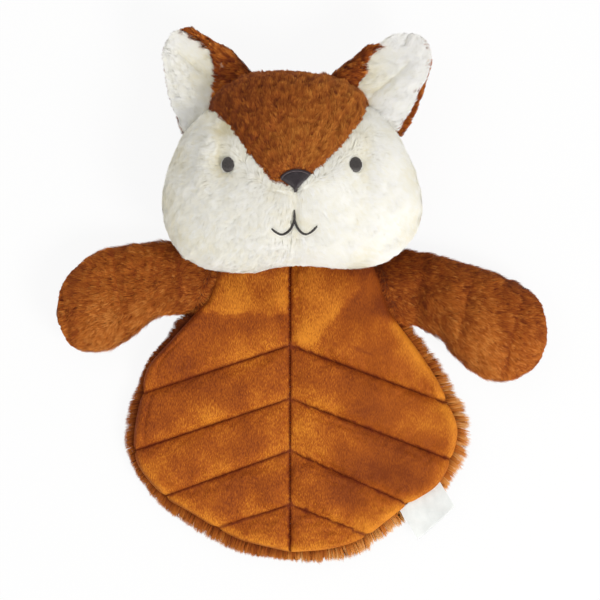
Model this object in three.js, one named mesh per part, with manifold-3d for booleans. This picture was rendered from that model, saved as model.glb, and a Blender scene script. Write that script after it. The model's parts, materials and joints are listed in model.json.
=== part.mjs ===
// Fox comforter: a stuffed fox head and two stuffed arms sewn to a flat quilted body.
// It lies on its back with its face up. Lengths are in millimetres, the limits of the joints in degrees.
// +X is to the viewer's right, +Y runs from the hem to the ears and +Z is up.
import * as THREE from "three";
import { mergeVertices } from "three/addons/utils/BufferGeometryUtils.js";
import Module from "manifold-3d";

const wasm = await Module();
wasm.setup();

// Clearances and cuts
const CLEARANCE = 0.3;
const CHORD_SLACK = 0.1;
const OVERRUN = 20;
const REST_CUT = 0.5;

// Head
const HEAD_WIDTH = 141;
const HEAD_HEIGHT = 109;
const HEAD_DEPTH = 72;
const HEAD_FORM_EXPONENT = 2.4;
const HEAD_PILE = 5;
const HEAD_OFF_CENTRE = 1.2;
const MUZZLE_RISE = 3;
const MUZZLE_SPREAD = 24;
const MUZZLE_DROP = 14;

// Neck seam
const NECK_WIDTH = 70;
const NECK_ROLL_RADIUS = 5;
const NECK_BELOW_HEAD_CENTRE = 39;

// Face
const EYE_WIDTH = 6.6;
const EYE_HEIGHT = 8;
const EYE_SPACING = 68;
const EYE_ABOVE_CENTRE = 2.6;
const NOSE_WIDTH = 16;
const NOSE_HEIGHT = 12;
const NOSE_BELOW_CENTRE = 0.2;
const NOSE_OFF_CENTRE = 2;
const MOUTH_WIDTH = 24.4;
const MOUTH_HEIGHT = 12.6;
const MOUTH_BELOW_CENTRE = 22;
const MOUTH_OFF_CENTRE = 1.4;
const MOUTH_STROKE = 1.4;
const THREAD_RISE = 1.2;

// Ears
const EAR_BASE = 50.5;
const EAR_LENGTH = 47.5;
const EAR_ROLL_RADIUS = 6;
const EAR_BACK_THICKNESS = 4;
const EAR_LINING_THICKNESS = 3.3;
const EAR_FLAP_THICKNESS = 3.5;
const EAR_LINING_SWELL = 1.6;

// Body
const BODY_LENGTH = 170;
const BODY_WIDTH = 178;
const BACK_THICKNESS = 7;
const BACK_EDGE_RADIUS = 6.4;
const WADDING_THICKNESS = 2;
const WADDING_INSET = 9;
const FRONT_SEAM_THICKNESS = 1.4;
const FRONT_EDGE_THICKNESS = 1;
const FRONT_CROWN = 3.6;
const SEAM_EXPONENT = 3;
const EDGE_EXPONENT = 6;
const FRINGE_LEFT = 4.2;
const FRINGE_RIGHT = 6.2;

// Arms
const ARM_LENGTH = 85;
const ARM_WIDTH = 57.5;
const ARM_THICKNESS = 32;
const SHOULDER_ROLL_RADIUS = 6;
const ARM_PILE = 4;
const ARM_FORM_EXPONENT = 2.1;

// Label
const LABEL_WIDTH = 27;
const LABEL_LENGTH = 13;
const RIBBON_THICKNESS = 0.5;
const LABEL_FOLD_RADIUS = 0.9;
const LABEL_STAND_OFF = 1.2;

// How far the head nods forward, the arms lift and drop and the ears fold, in degrees, and how far
// past that they are cleared.
const NECK_NOD_ANGLE = 30;
const ARM_LIFT_ANGLE = 22;
const ARM_DROP_ANGLE = 45;
const EAR_FOLD_ANGLE = 30;
const MARGIN_ANGLE = 1;

// Counts of facets
const HEAD_SIDES = 30;
const HEAD_RINGS = 5;
const ROLL_SIDES = 16;
const OVAL_SIDES = 16;
const STROKE_STEPS = 6;
const CURVE_STEPS = 6;
const EAR_STEPS = 8;
const ARM_STEPS = 10;
const ARM_SIDES = 12;
const STRIP_COLUMNS = 6;
const STRIP_ROWS = 4;
const CHEST_ROWS = 11;
const BACK_SIDES = 52;
const WADDING_SIDES = 40;
const FOLD_SIDES = 8;
const SWEEP_STEPS = 6;

const COLOURS = {
  rust: "#9a5420",
  velour: "#b5651d",
  cream: "#f3f3ec",
  thread: "#4a4a48",
  nose: "#35282a",
  ribbon: "#f5f7f5",
  fibre: "#efeee8",
};
const PILE_ROUGHNESS = 0.95;
const VELOUR_ROUGHNESS = 0.8;
const THREAD_ROUGHNESS = 0.7;
const RIBBON_ROUGHNESS = 0.45;

// Outline of the head, as shares of its half width and half height, anticlockwise from the right cheek.
const HEAD_OUTLINE_SHARES = [
  [1, -0.3], [0.97, -0.09], [0.91, 0.12], [0.81, 0.37], [0.71, 0.52], [0.615, 0.64], [0.53, 0.785],
  [0.385, 0.905], [0.215, 0.965], [-0.08, 1], [-0.29, 0.97], [-0.44, 0.91], [-0.575, 0.8],
  [-0.655, 0.62], [-0.75, 0.49], [-0.845, 0.355], [-0.925, 0.12], [-0.98, -0.09], [-1, -0.28],
  [-0.985, -0.49], [-0.935, -0.66], [-0.845, -0.84], [-0.765, -0.89], [-0.64, -0.965], [-0.34, -1],
  [-0.14, -0.945], [0.02, -0.925], [0.21, -0.937], [0.455, -0.958], [0.665, -0.915], [0.795, -0.83],
  [0.86, -0.76], [0.94, -0.63], [0.99, -0.485],
];

// Height over the head's middle, as a share of its depth, by which the muzzle has its full rise.
const MUZZLE_FADE_SHARE = 0.25;

// Sides of the V of the forehead, as shares of the head's half width and half height, from left to right.
const FOREHEAD_SHARES = [
  [-1, 0.72], [-0.655, 0.61], [-0.55, 0.53], [-0.44, 0.39], [-0.31, 0.15], [-0.19, 0], [-0.09, -0.11],
  [0.03, -0.18], [0.15, -0.03], [0.21, 0.06], [0.37, 0.25], [0.44, 0.37], [0.5, 0.46], [0.55, 0.58],
  [0.615, 0.64], [1, 0.76],
];

// Corners of the forehead's cut beyond the top of the head.
const FOREHEAD_RIM_SHARES = [[1.2, 1.4], [-1.2, 1.4]];

// Ends of each ear's base, as shares of the head's half width and half height, the outer end first.
const EAR_BASE_SHARES = {
  left: [[-0.84, 0.355], [-0.3, 0.965]],
  right: [[0.84, 0.35], [0.29, 0.945]],
};

// Ear rows from base to tip: outer edge, folded inner edge and the folded part's free edge.
// Each point is a share of the base along it and a share of the length away from it.
const EAR_ROW_SHARES = {
  left: [
    [[-0.5, 0], [0.5, 0], [-0.13, 0]],
    [[-0.39, 0.29], [0.495, 0.2], [0.12, 0.22]],
    [[-0.29, 0.51], [0.49, 0.4], [0.22, 0.38]],
    [[-0.16, 0.73], [0.425, 0.55], [0.28, 0.53]],
    [[-0.045, 0.89], [0.385, 0.69], [0.265, 0.66]],
    [[0.1, 0.95], [0.345, 0.82], [0.25, 0.8]],
    [[0.15, 0.965], [0.33, 0.88], [0.29, 0.89]],
  ],
  right: [
    [[-0.5, 0], [0.5, 0], [0.1, 0]],
    [[-0.465, 0.24], [0.47, 0.19], [0.17, 0.21]],
    [[-0.405, 0.46], [0.425, 0.37], [0.23, 0.33]],
    [[-0.305, 0.71], [0.405, 0.54], [0.26, 0.42]],
    [[-0.21, 0.9], [0.34, 0.64], [0.25, 0.53]],
    [[-0.085, 1], [0.32, 0.76], [0.28, 0.66]],
    [[0.05, 1.015], [0.25, 0.87], [0.22, 0.85]],
  ],
};
const EAR_TIP_THICKNESS_SHARE = 0.7;
const EAR_LEAST_OPEN_SHARE = 0.2;
// Rounding of the folded edge as a share of the back's thickness, and the lining's swell across its width.
const EAR_BEVEL_SHARE = 0.33;
const EAR_TUCK_SHARE = 0.9;
const EAR_SWELL_SHARES = [0.9, 0.4];

// Edge of the velour front, one list for each strip from the neck to the hem.
// Each point is a share of the body's half width and of its length below the neck seam.
const BODY_EDGE_SHARES = {
  left: [
    [[0.4, 0.03], [0.44, 0.045], [0.456, 0.085], [0.475, 0.134], [0.51, 0.181], [0.565, 0.21], [0.735, 0.309],
      [0.88, 0.397]],
    [[0.92, 0.483], [0.96, 0.584]],
    [[0.967, 0.67], [0.919, 0.738]],
    [[0.78, 0.819], [0.62, 0.87]],
    [[0.455, 0.922], [0.3, 0.961], [0.15, 0.982]],
  ],
  right: [
    [[0.42, 0.03], [0.5, 0.05], [0.525, 0.08], [0.565, 0.124], [0.6, 0.186], [0.645, 0.238], [0.796, 0.345],
      [0.915, 0.44]],
    [[0.98, 0.514], [1.04, 0.6]],
    [[1, 0.7], [0.91, 0.784]],
    [[0.733, 0.845], [0.615, 0.892]],
    [[0.48, 0.946], [0.35, 0.976], [0.2, 0.993]],
  ],
};
// How much of the fringe stands out at each point of the lists above.
const FRINGE_SHARES = {
  left: [0, 0, 0, 0, 0, 0, 0.8, 1, 1, 1, 1, 1, 1, 0.9, 0.9, 0.9, 0.9],
  right: [0, 0, 0, 0, 0, 0, 0.7, 0.9, 1, 1, 1, 1, 1, 0.9, 0.7, 0.6, 0.6],
};
const CENTRE_SEAM_SHARES = [0.03, 0.327, 0.5, 0.67, 0.845, 1];
const STRIP_NAMES = ["chest", "upper_band", "middle_band", "lower_band", "tip_band"];

// Ends of each shoulder seam, as shares of the body's half width and length.
const SHOULDER_SHARES = {
  left: [[0.45, 0.045], [0.565, 0.21]],
  right: [[0.525, 0.05], [0.645, 0.238]],
};

// Arm rows from shoulder to paw: upper edge, lower edge and thickness.
// Edge points are shares of the arm's length outwards and of its width upwards.
const ARM_ROW_SHARES = {
  left: [
    [[-0.058, 0.245], [0.058, -0.245], 0.375],
    [[0.117, 0.4], [0.169, -0.298], 0.5],
    [[0.292, 0.44], [0.292, -0.312], 0.68],
    [[0.422, 0.413], [0.415, -0.413], 0.82],
    [[0.551, 0.393], [0.538, -0.561], 0.93],
    [[0.694, 0.341], [0.661, -0.648], 1],
    [[0.811, 0.235], [0.785, -0.653], 0.96],
    [[0.901, 0.11], [0.875, -0.6], 0.84],
    [[0.96, -0.014], [0.934, -0.504], 0.6],
    [[0.984, -0.2], [0.984, -0.34], 0.24],
  ],
  right: [
    [[-0.055, 0.288], [0.055, -0.269], 0.375],
    [[0.08, 0.4], [0.133, -0.326], 0.5],
    [[0.23, 0.374], [0.256, -0.369], 0.66],
    [[0.373, 0.331], [0.366, -0.47], 0.82],
    [[0.516, 0.269], [0.464, -0.638], 0.94],
    [[0.665, 0.202], [0.587, -0.787], 1],
    [[0.801, 0.12], [0.73, -0.869], 1],
    [[0.924, 0.014], [0.859, -0.825], 0.9],
    [[1.005, -0.125], [0.97, -0.72], 0.68],
    [[1.046, -0.36], [1.04, -0.5], 0.28],
  ],
};
const ARM_FILL_START_SHARE = 0.1;
const ARM_FILL_END_SHARE = 0.95;

// Ends of the label's seam, as shares of the body's half width and length.
const LABEL_MIDDLE_SHARES = [0.82, 0.84];

// Outline of the nose, as shares of its width and height, and of the mouth's two arms.
const NOSE_SHARES = [
  [-0.5, -0.4], [-0.36, -0.16], [-0.12, -0.02], [0.1, 0], [0.32, -0.06], [0.5, -0.18], [0.34, -0.45],
  [0.12, -0.75], [0.05, -0.84], [0.04, -1], [-0.06, -1], [-0.06, -0.84], [-0.2, -0.7],
];
const MOUTH_LEFT_SHARES = [[0, -0.5], [-0.12, -0.86], [-0.28, -1], [-0.42, -0.92], [-0.5, -0.78]];
const MOUTH_RIGHT_SHARES = [[0, -0.5], [0.08, -0.78], [0.2, -0.97], [0.36, -0.91], [0.5, -0.66]];
const MOUTH_STEM_SHARES = [[0, 0], [0, -0.5]];

// Heights of the layers of the body
const WADDING_BASE = BACK_THICKNESS + CLEARANCE;
const FRONT_BASE = WADDING_BASE + WADDING_THICKNESS + CLEARANCE;
const HEAD_MIDDLE = HEAD_DEPTH / 2 - REST_CUT;
const NECK_HEIGHT = NECK_ROLL_RADIUS + REST_CUT;
const SHOULDER_HEIGHT = SHOULDER_ROLL_RADIUS;
const HEAD_CENTRE = new THREE.Vector2(HEAD_OFF_CENTRE, NECK_BELOW_HEAD_CENTRE);
const SIDES = ["left", "right"];
const SIDE_SIGN = { left: -1, right: 1 };
const UP = new THREE.Vector3(0, 0, 1);

/** Turn a closed geometry into a solid, dropping faces that have shrunk to a line. */
function solidOf(geometry) {
  const bare = new THREE.BufferGeometry();
  bare.setAttribute("position", geometry.getAttribute("position"));
  bare.setIndex(geometry.index);
  const merged = mergeVertices(bare);
  const index = merged.index.array;
  const faces = [];
  for (let i = 0; i < index.length; i += 3) {
    const [a, b, c] = index.slice(i, i + 3);
    if (a !== b && b !== c && c !== a) {
      faces.push([a, b, c]);
    }
  }
  const position = merged.getAttribute("position");
  const outward = signedVolume(position, faces) > 0;
  const turned = faces.map(([a, b, c]) => (outward ? [a, b, c] : [a, c, b]));
  return new wasm.Manifold(new wasm.Mesh({
    numProp: 3,
    vertProperties: new Float32Array(position.array),
    triVerts: new Uint32Array(turned.flat()),
  }));
}

/** Volume of a closed mesh, negative where its faces point in. */
function signedVolume(position, faces) {
  const [a, b, c] = [new THREE.Vector3(), new THREE.Vector3(), new THREE.Vector3()];
  let volume = 0;
  for (const face of faces) {
    a.fromBufferAttribute(position, face[0]);
    b.fromBufferAttribute(position, face[1]);
    c.fromBufferAttribute(position, face[2]);
    volume += a.dot(b.cross(c));
  }
  return volume;
}

/** Geometry of a solid, for a mesh of the scene. */
function geometryOf(solid) {
  const mesh = solid.getMesh();
  const geometry = new THREE.BufferGeometry();
  geometry.setAttribute("position", new THREE.BufferAttribute(mesh.vertProperties, 3));
  geometry.setIndex(new THREE.BufferAttribute(mesh.triVerts, 1));
  return geometry;
}

/** Keep the part of a solid on the side of a plane that its normal points to. */
function keepBeyond(solid, normal, distance) {
  return solid.trimByPlane(normal, distance);
}

/** Keep only the largest of the separate lumps that cutting has left. */
function largestLump(solid) {
  const lumps = solid.decompose();
  return lumps.reduce((best, lump) => (lump.volume() > best.volume() ? lump : best));
}

/** A solid turned about the line between two points. */
function turnedAbout(solid, [start, end], angle) {
  const axis = end.clone().sub(start).normalize();
  const there = new THREE.Matrix4().makeTranslation(start.x, start.y, start.z);
  const back = new THREE.Matrix4().makeTranslation(-start.x, -start.y, -start.z);
  const turn = new THREE.Matrix4().makeRotationAxis(axis, angle);
  return solid.transform(there.multiply(turn).multiply(back).toArray());
}

/** The whole space that a solid passes through while it turns about a line by a list of angles. */
function sweptAbout(solid, line, angles) {
  const places = angles.map((angle) => turnedAbout(solid, line, THREE.MathUtils.degToRad(angle)));
  return places.reduce((whole, place) => whole.add(place));
}

/** Evenly stepped angles between two limits and a little past both. */
function sweepAngles(low, high) {
  const [from, to] = [low - MARGIN_ANGLE, high + MARGIN_ANGLE];
  return Array.from({ length: SWEEP_STEPS + 1 }, (_, i) => from + (to - from) * (i / SWEEP_STEPS));
}

/** Loft through closed rings of equal count, capped at both ends. */
function loftGeometry(rings) {
  const count = rings[0].length;
  const points = rings.flat();
  const index = [];
  for (let r = 0; r + 1 < rings.length; r += 1) {
    for (let i = 0; i < count; i += 1) {
      const next = (i + 1) % count;
      const [a, b] = [r * count + i, r * count + next];
      const [c, d] = [a + count, b + count];
      index.push(a, b, d, a, d, c);
    }
  }
  const last = (rings.length - 1) * count;
  for (const [p, q, s] of capFaces(rings[0])) {
    index.push(q, p, s);
  }
  for (const [p, q, s] of capFaces(rings[rings.length - 1])) {
    index.push(last + p, last + q, last + s);
  }
  return indexedGeometry(points, index);
}

/** Triangles that fill a ring, worked out in the plane that it nearly lies in. */
function capFaces(ring) {
  const middle = ring.reduce((sum, p) => sum.add(p), new THREE.Vector3()).divideScalar(ring.length);
  const normal = new THREE.Vector3();
  ring.forEach((p, i) => {
    const next = ring[(i + 1) % ring.length];
    normal.add(p.clone().sub(middle).cross(next.clone().sub(middle)));
  });
  const turn = new THREE.Quaternion().setFromUnitVectors(normal.normalize(), UP);
  const flat = ring.map((p) => p.clone().sub(middle).applyQuaternion(turn));
  return THREE.ShapeUtils.triangulateShape(flat.map((p) => new THREE.Vector2(p.x, p.y)), []);
}

/** Geometry from a list of points and a list of corner numbers. */
function indexedGeometry(points, index) {
  const geometry = new THREE.BufferGeometry();
  geometry.setFromPoints(points);
  geometry.setIndex(index);
  return geometry;
}

/** Slab between a grid of upper points and a grid of lower points of the same size. */
function slabGeometry(upper, lower) {
  const rows = upper.length;
  const columns = upper[0].length;
  const points = [...upper.flat(), ...lower.flat()];
  const under = rows * columns;
  const index = [];
  const quad = (a, b, c, d) => index.push(a, b, c, a, c, d);
  for (let r = 0; r + 1 < rows; r += 1) {
    for (let c = 0; c + 1 < columns; c += 1) {
      const a = r * columns + c;
      quad(a, a + 1, a + columns + 1, a + columns);
      quad(under + a, under + a + columns, under + a + columns + 1, under + a + 1);
    }
  }
  for (let c = 0; c + 1 < columns; c += 1) {
    const end = (rows - 1) * columns + c;
    quad(c, under + c, under + c + 1, c + 1);
    quad(end, end + 1, under + end + 1, under + end);
  }
  for (let r = 0; r + 1 < rows; r += 1) {
    const a = r * columns;
    const b = a + columns - 1;
    quad(a, a + columns, under + a + columns, under + a);
    quad(b, under + b, under + b + columns, b + columns);
  }
  return indexedGeometry(points, index);
}

/** Closed smooth outline through points, as evenly spaced corners. */
function smoothOutline(points, count) {
  const corners = points.map((p) => new THREE.Vector3(p.x, p.y, 0));
  const curve = new THREE.CatmullRomCurve3(corners, true, "centripetal");
  return curve.getSpacedPoints(count).slice(0, count).map((p) => new THREE.Vector2(p.x, p.y));
}

/** Round bar between two points. */
function barSolid(start, end, radius) {
  const along = end.clone().sub(start);
  const bar = new THREE.CylinderGeometry(radius, radius, along.length(), ROLL_SIDES);
  const upright = new THREE.Vector3(0, 1, 0);
  const turn = new THREE.Quaternion().setFromUnitVectors(upright, along.clone().normalize());
  bar.applyQuaternion(turn);
  bar.translate(...start.clone().add(end).divideScalar(2));
  return solidOf(bar);
}

/** Radius of the hollow that a rolled seam of this radius turns in. */
function hollowRadius(radius) {
  return (radius + CLEARANCE) / Math.cos(Math.PI / ROLL_SIDES);
}

/** Place on the head's mid-plane of a pair of shares of its half width and half height. */
function onHead(share, grow = 0) {
  const x = share[0] * (HEAD_WIDTH / 2 + grow);
  const y = share[1] * (HEAD_HEIGHT / 2 + grow);
  return new THREE.Vector2(x, y).add(HEAD_CENTRE);
}

/** Rise of the muzzle over the plain crown of the face. */
function muzzleRise(x, y) {
  const dx = x - HEAD_CENTRE.x;
  const dy = y - HEAD_CENTRE.y + MUZZLE_DROP;
  return MUZZLE_RISE * Math.exp(-(dx * dx + dy * dy) / (MUZZLE_SPREAD * MUZZLE_SPREAD));
}

/** The head's full form, grown or shrunk all round. */
function headForm(grow) {
  const outline = smoothOutline(HEAD_OUTLINE_SHARES.map((share) => onHead(share, grow)), HEAD_SIDES);
  const halfDepth = HEAD_DEPTH / 2 + grow;
  const rings = [];
  for (let k = 1 - HEAD_RINGS; k < HEAD_RINGS; k += 1) {
    const angle = (Math.PI / 2) * (k / HEAD_RINGS);
    const spread = Math.cos(angle) ** (2 / HEAD_FORM_EXPONENT);
    const height = Math.sign(k) * halfDepth * Math.abs(Math.sin(angle)) ** (2 / HEAD_FORM_EXPONENT);
    rings.push(outline.map((p) => headPoint(p, spread, height)));
  }
  const poles = [-halfDepth, halfDepth].map((height) => headPoint(HEAD_CENTRE, 0, height));
  return solidOf(domedGeometry(rings, poles));
}

/** Point of a head ring: an outline point drawn in towards the centre and lifted. */
function headPoint(point, spread, height) {
  const flat = point.clone().sub(HEAD_CENTRE).multiplyScalar(spread).add(HEAD_CENTRE);
  const fade = Math.min(1, Math.max(0, height) / (HEAD_DEPTH * MUZZLE_FADE_SHARE));
  const lift = muzzleRise(flat.x, flat.y) * fade;
  return new THREE.Vector3(flat.x, flat.y, HEAD_MIDDLE + height + lift);
}

/** Loft through rings with a pole at each end. */
function domedGeometry(rings, poles) {
  const count = rings[0].length;
  const points = [...rings.flat(), ...poles];
  const [bottom, top] = [points.length - 2, points.length - 1];
  const last = (rings.length - 1) * count;
  const index = [];
  for (let r = 0; r + 1 < rings.length; r += 1) {
    for (let i = 0; i < count; i += 1) {
      const next = (i + 1) % count;
      const [a, b] = [r * count + i, r * count + next];
      index.push(a, b, b + count, a, b + count, a + count);
    }
  }
  for (let i = 0; i < count; i += 1) {
    const next = (i + 1) % count;
    index.push(bottom, next, i, top, last + i, last + next);
  }
  return indexedGeometry(points, index);
}

/** The ends of an ear's base line, at the height of the head's widest ring. */
function earBase(side) {
  const [outer, inner] = EAR_BASE_SHARES[side].map((share) => onHead(share));
  const middle = outer.clone().add(inner).divideScalar(2);
  const along = inner.clone().sub(outer).normalize();
  const reach = along.clone().multiplyScalar(EAR_BASE / 2);
  const ends = [middle.clone().sub(reach), middle.clone().add(reach)];
  const away = new THREE.Vector2(along.y, -along.x).multiplyScalar(SIDE_SIGN[side]);
  return { middle, along, away, ends: ends.map((p) => new THREE.Vector3(p.x, p.y, HEAD_MIDDLE)) };
}

/** Hollow in the head that an ear's rolled base turns in. */
function earHollow(side) {
  const [start, end] = earBase(side).ends;
  const past = end.clone().sub(start).setLength(CLEARANCE);
  return barSolid(start.clone().sub(past), end.clone().add(past), hollowRadius(EAR_ROLL_RADIUS));
}

/** Line of the neck seam, which the head nods about. */
function neckLine(past = 0) {
  const half = NECK_WIDTH / 2 + past;
  return [new THREE.Vector3(-half, 0, NECK_HEIGHT), new THREE.Vector3(half, 0, NECK_HEIGHT)];
}

/** Everything that is hollowed out of the head for the seams that turn against it. */
function headHollows() {
  const neck = barSolid(...neckLine(CLEARANCE), hollowRadius(NECK_ROLL_RADIUS));
  return neck.add(earHollow("left")).add(earHollow("right"));
}

/** Upright prism over the V of the forehead, lowered to leave a seam gap beside it. */
function foreheadPrism(lower) {
  const corners = FOREHEAD_SHARES.map((share) => onHead(share));
  const rim = FOREHEAD_RIM_SHARES.map((share) => onHead(share));
  const shape = new THREE.Shape([...corners, ...rim]);
  const prism = new THREE.ExtrudeGeometry(shape, { depth: HEAD_DEPTH + OVERRUN, bevelEnabled: false });
  prism.translate(0, -lower, 0);
  return solidOf(prism);
}

/** The five fabric panels of the head and the stuffing in them. */
function headPieces() {
  const hollows = headHollows();
  const skin = headForm(0).subtract(headForm(-HEAD_PILE)).subtract(hollows);
  const resting = keepBeyond(skin, [0, 0, 1], 0);
  const front = keepBeyond(resting, [0, 0, 1], HEAD_MIDDLE + CLEARANCE / 2);
  const back = keepBeyond(resting, [0, 0, -1], -(HEAD_MIDDLE - CLEARANCE / 2));
  const cheeks = front.subtract(foreheadPrism(CLEARANCE * 2));
  const leftLimit = CLEARANCE / 2 - HEAD_CENTRE.x;
  const rightLimit = CLEARANCE / 2 + HEAD_CENTRE.x;
  const fill = headForm(-(HEAD_PILE + CLEARANCE)).subtract(hollows);
  return {
    forehead_panel: largestLump(front.intersect(foreheadPrism(0))),
    cheek_panel_left: largestLump(keepBeyond(cheeks, [-1, 0, 0], leftLimit)),
    cheek_panel_right: largestLump(keepBeyond(cheeks, [1, 0, 0], rightLimit)),
    head_back_panel_left: largestLump(keepBeyond(back, [-1, 0, 0], leftLimit)),
    head_back_panel_right: largestLump(keepBeyond(back, [1, 0, 0], rightLimit)),
    head_stuffing: largestLump(fill),
  };
}

/** A patch of embroidery on the face, cut from a thin layer that follows the panels. */
function stitchedPatch(prism) {
  const outer = headForm(CLEARANCE + CHORD_SLACK + THREAD_RISE);
  const inner = headForm(CLEARANCE + CHORD_SLACK);
  return largestLump(prism.intersect(outer).subtract(inner));
}

/** Upright prism over a flat shape, from the head's middle to above its face. */
function facePrism(shape) {
  const prism = new THREE.ExtrudeGeometry(shape, { depth: HEAD_DEPTH, bevelEnabled: false });
  prism.translate(0, 0, HEAD_MIDDLE);
  return solidOf(prism);
}

/** Oval eye on one side of the face. */
function eyeSolid(side) {
  const x = HEAD_CENTRE.x + SIDE_SIGN[side] * (EYE_SPACING / 2);
  const y = HEAD_CENTRE.y + EYE_ABOVE_CENTRE;
  const oval = new THREE.EllipseCurve(x, y, EYE_WIDTH / 2, EYE_HEIGHT / 2);
  return stitchedPatch(facePrism(new THREE.Shape(oval.getSpacedPoints(OVAL_SIDES).slice(0, OVAL_SIDES))));
}

/** Rounded triangle of the nose with its short stem. */
function noseSolid() {
  const x = HEAD_CENTRE.x + NOSE_OFF_CENTRE;
  const y = HEAD_CENTRE.y - NOSE_BELOW_CENTRE;
  const corners = NOSE_SHARES.map(([u, v]) => new THREE.Vector2(x + u * NOSE_WIDTH, y + v * NOSE_HEIGHT));
  return stitchedPatch(facePrism(new THREE.Shape(corners)));
}

/** Prism over a stroke of the mouth. */
function strokePrism(shares) {
  const x = HEAD_CENTRE.x + MOUTH_OFF_CENTRE;
  const y = HEAD_CENTRE.y - MOUTH_BELOW_CENTRE;
  const points = shares.map(([u, v]) => new THREE.Vector2(x + u * MOUTH_WIDTH, y + v * MOUTH_HEIGHT));
  const curve = new THREE.SplineCurve(points);
  const [one, other] = [[], []];
  for (let i = 0; i <= STROKE_STEPS; i += 1) {
    const p = curve.getPointAt(i / STROKE_STEPS);
    const t = curve.getTangentAt(i / STROKE_STEPS);
    const across = new THREE.Vector2(-t.y, t.x).multiplyScalar(MOUTH_STROKE / 2);
    one.push(p.clone().add(across));
    other.unshift(p.clone().sub(across));
  }
  return facePrism(new THREE.Shape([...one, ...other]));
}

/** The mouth: a short stem that parts into two curved arms. */
function mouthSolid() {
  const arms = strokePrism(MOUTH_LEFT_SHARES).add(strokePrism(MOUTH_RIGHT_SHARES));
  return stitchedPatch(arms.add(strokePrism(MOUTH_STEM_SHARES)));
}

/** Rows of an ear, smoothed from base to tip: outer edge, folded edge and free edge of the fold. */
function earRows(side) {
  const { middle, along, away } = earBase(side);
  const place = ([u, v]) => {
    const out = along.clone().multiplyScalar(u * EAR_BASE).add(away.clone().multiplyScalar(v * EAR_LENGTH));
    return middle.clone().add(out);
  };
  const placed = EAR_ROW_SHARES[side].map((row) => row.map(place));
  const columns = [0, 1, 2].map((k) => new THREE.SplineCurve(placed.map((row) => row[k])));
  const rows = [];
  for (let i = 0; i <= EAR_STEPS; i += 1) {
    const share = i / EAR_STEPS;
    const [outer, fold, free] = columns.map((curve) => curve.getPoint(share));
    rows.push({ share, outer, fold, free });
  }
  return rows;
}

/** Ring of an ear row from its profile, given as distances from the outer edge and heights. */
function earRing(row, profile) {
  const across = row.fold.clone().sub(row.outer).normalize();
  return profile.map(([distance, height]) => {
    const p = row.outer.clone().add(across.clone().multiplyScalar(distance));
    return new THREE.Vector3(p.x, p.y, HEAD_MIDDLE + height);
  });
}

/** Sizes of an ear row: its width, where the fold ends, and how far it has thinned towards the tip. */
function earRowSizes(row) {
  const width = row.outer.distanceTo(row.fold);
  const thin = 1 - (1 - EAR_TIP_THICKNESS_SHARE) * row.share;
  const round = EAR_BACK_THICKNESS * thin;
  const free = Math.min(row.outer.distanceTo(row.free), width - round - round);
  return { width, free: Math.max(free, width * EAR_LEAST_OPEN_SHARE), thin, round };
}

/** Cut from part of an ear what would strike the head while the ear folds. */
function clearOfHead(piece, line) {
  return piece.subtract(sweptAbout(headForm(CLEARANCE), line, sweepAngles(-EAR_FOLD_ANGLE, EAR_FOLD_ANGLE)));
}

/** Back of an ear: a plate whose inner third is folded forward over the lining. */
function earBackSolid(side) {
  const rings = earRows(side).map((row) => {
    const { width, free, thin, round } = earRowSizes(row);
    const under = -EAR_ROLL_RADIUS * thin + CLEARANCE;
    const over = under + EAR_BACK_THICKNESS * thin;
    const flap = over + EAR_LINING_THICKNESS * thin + CLEARANCE * 2;
    const crest = flap + EAR_FLAP_THICKNESS * thin;
    const bevel = round * EAR_BEVEL_SHARE;
    return earRing(row, [
      [0, over], [0, under + bevel], [bevel, under], [width - round, under], [width - bevel, under + bevel],
      [width, (under + crest) / 2], [width - bevel, crest - bevel], [width - round, crest],
      [free + bevel, crest], [free, flap], [width - round, flap], [width - round, over],
    ]);
  });
  const line = earBase(side).ends;
  const flap = clearOfHead(solidOf(loftGeometry(rings)), line);
  return largestLump(flap.add(barSolid(...line, EAR_ROLL_RADIUS)));
}

/** Cream lining of an ear, tucked under the folded part of its back. */
function earLiningSolid(side) {
  const rings = earRows(side).map((row) => {
    const { width, free, thin } = earRowSizes(row);
    const base = -EAR_ROLL_RADIUS * thin + EAR_BACK_THICKNESS * thin + CLEARANCE * 2;
    const top = base + EAR_LINING_THICKNESS * thin;
    const inner = width - EAR_BACK_THICKNESS * thin - CLEARANCE;
    const open = Math.min(free - CLEARANCE, inner * EAR_TUCK_SHARE);
    const [high, low] = EAR_SWELL_SHARES.map((share) => [open * share, top + EAR_LINING_SWELL * thin]);
    const rim = [0, (base + top) / 2];
    return earRing(row, [[0, base], [inner, base], [inner, top], [open, top], high, low, rim]);
  });
  const open = solidOf(loftGeometry(rings)).subtract(earHollow(side));
  return largestLump(clearOfHead(open, earBase(side).ends));
}

/** Place on the body of a pair of shares of its half width and of its length below the neck seam. */
function onBody(side, share) {
  return new THREE.Vector2(SIDE_SIGN[side] * share[0] * (BODY_WIDTH / 2), -share[1] * BODY_LENGTH);
}

/** Points of one side's edge from the neck to the hem, and the number of each strip's first point. */
function edgePoints(side) {
  const lists = BODY_EDGE_SHARES[side];
  const points = [...lists.flat(), [0, 1]].map((share) => onBody(side, share));
  const starts = [0];
  for (const list of lists) {
    starts.push(starts[starts.length - 1] + list.length);
  }
  return { points, starts };
}

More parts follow.
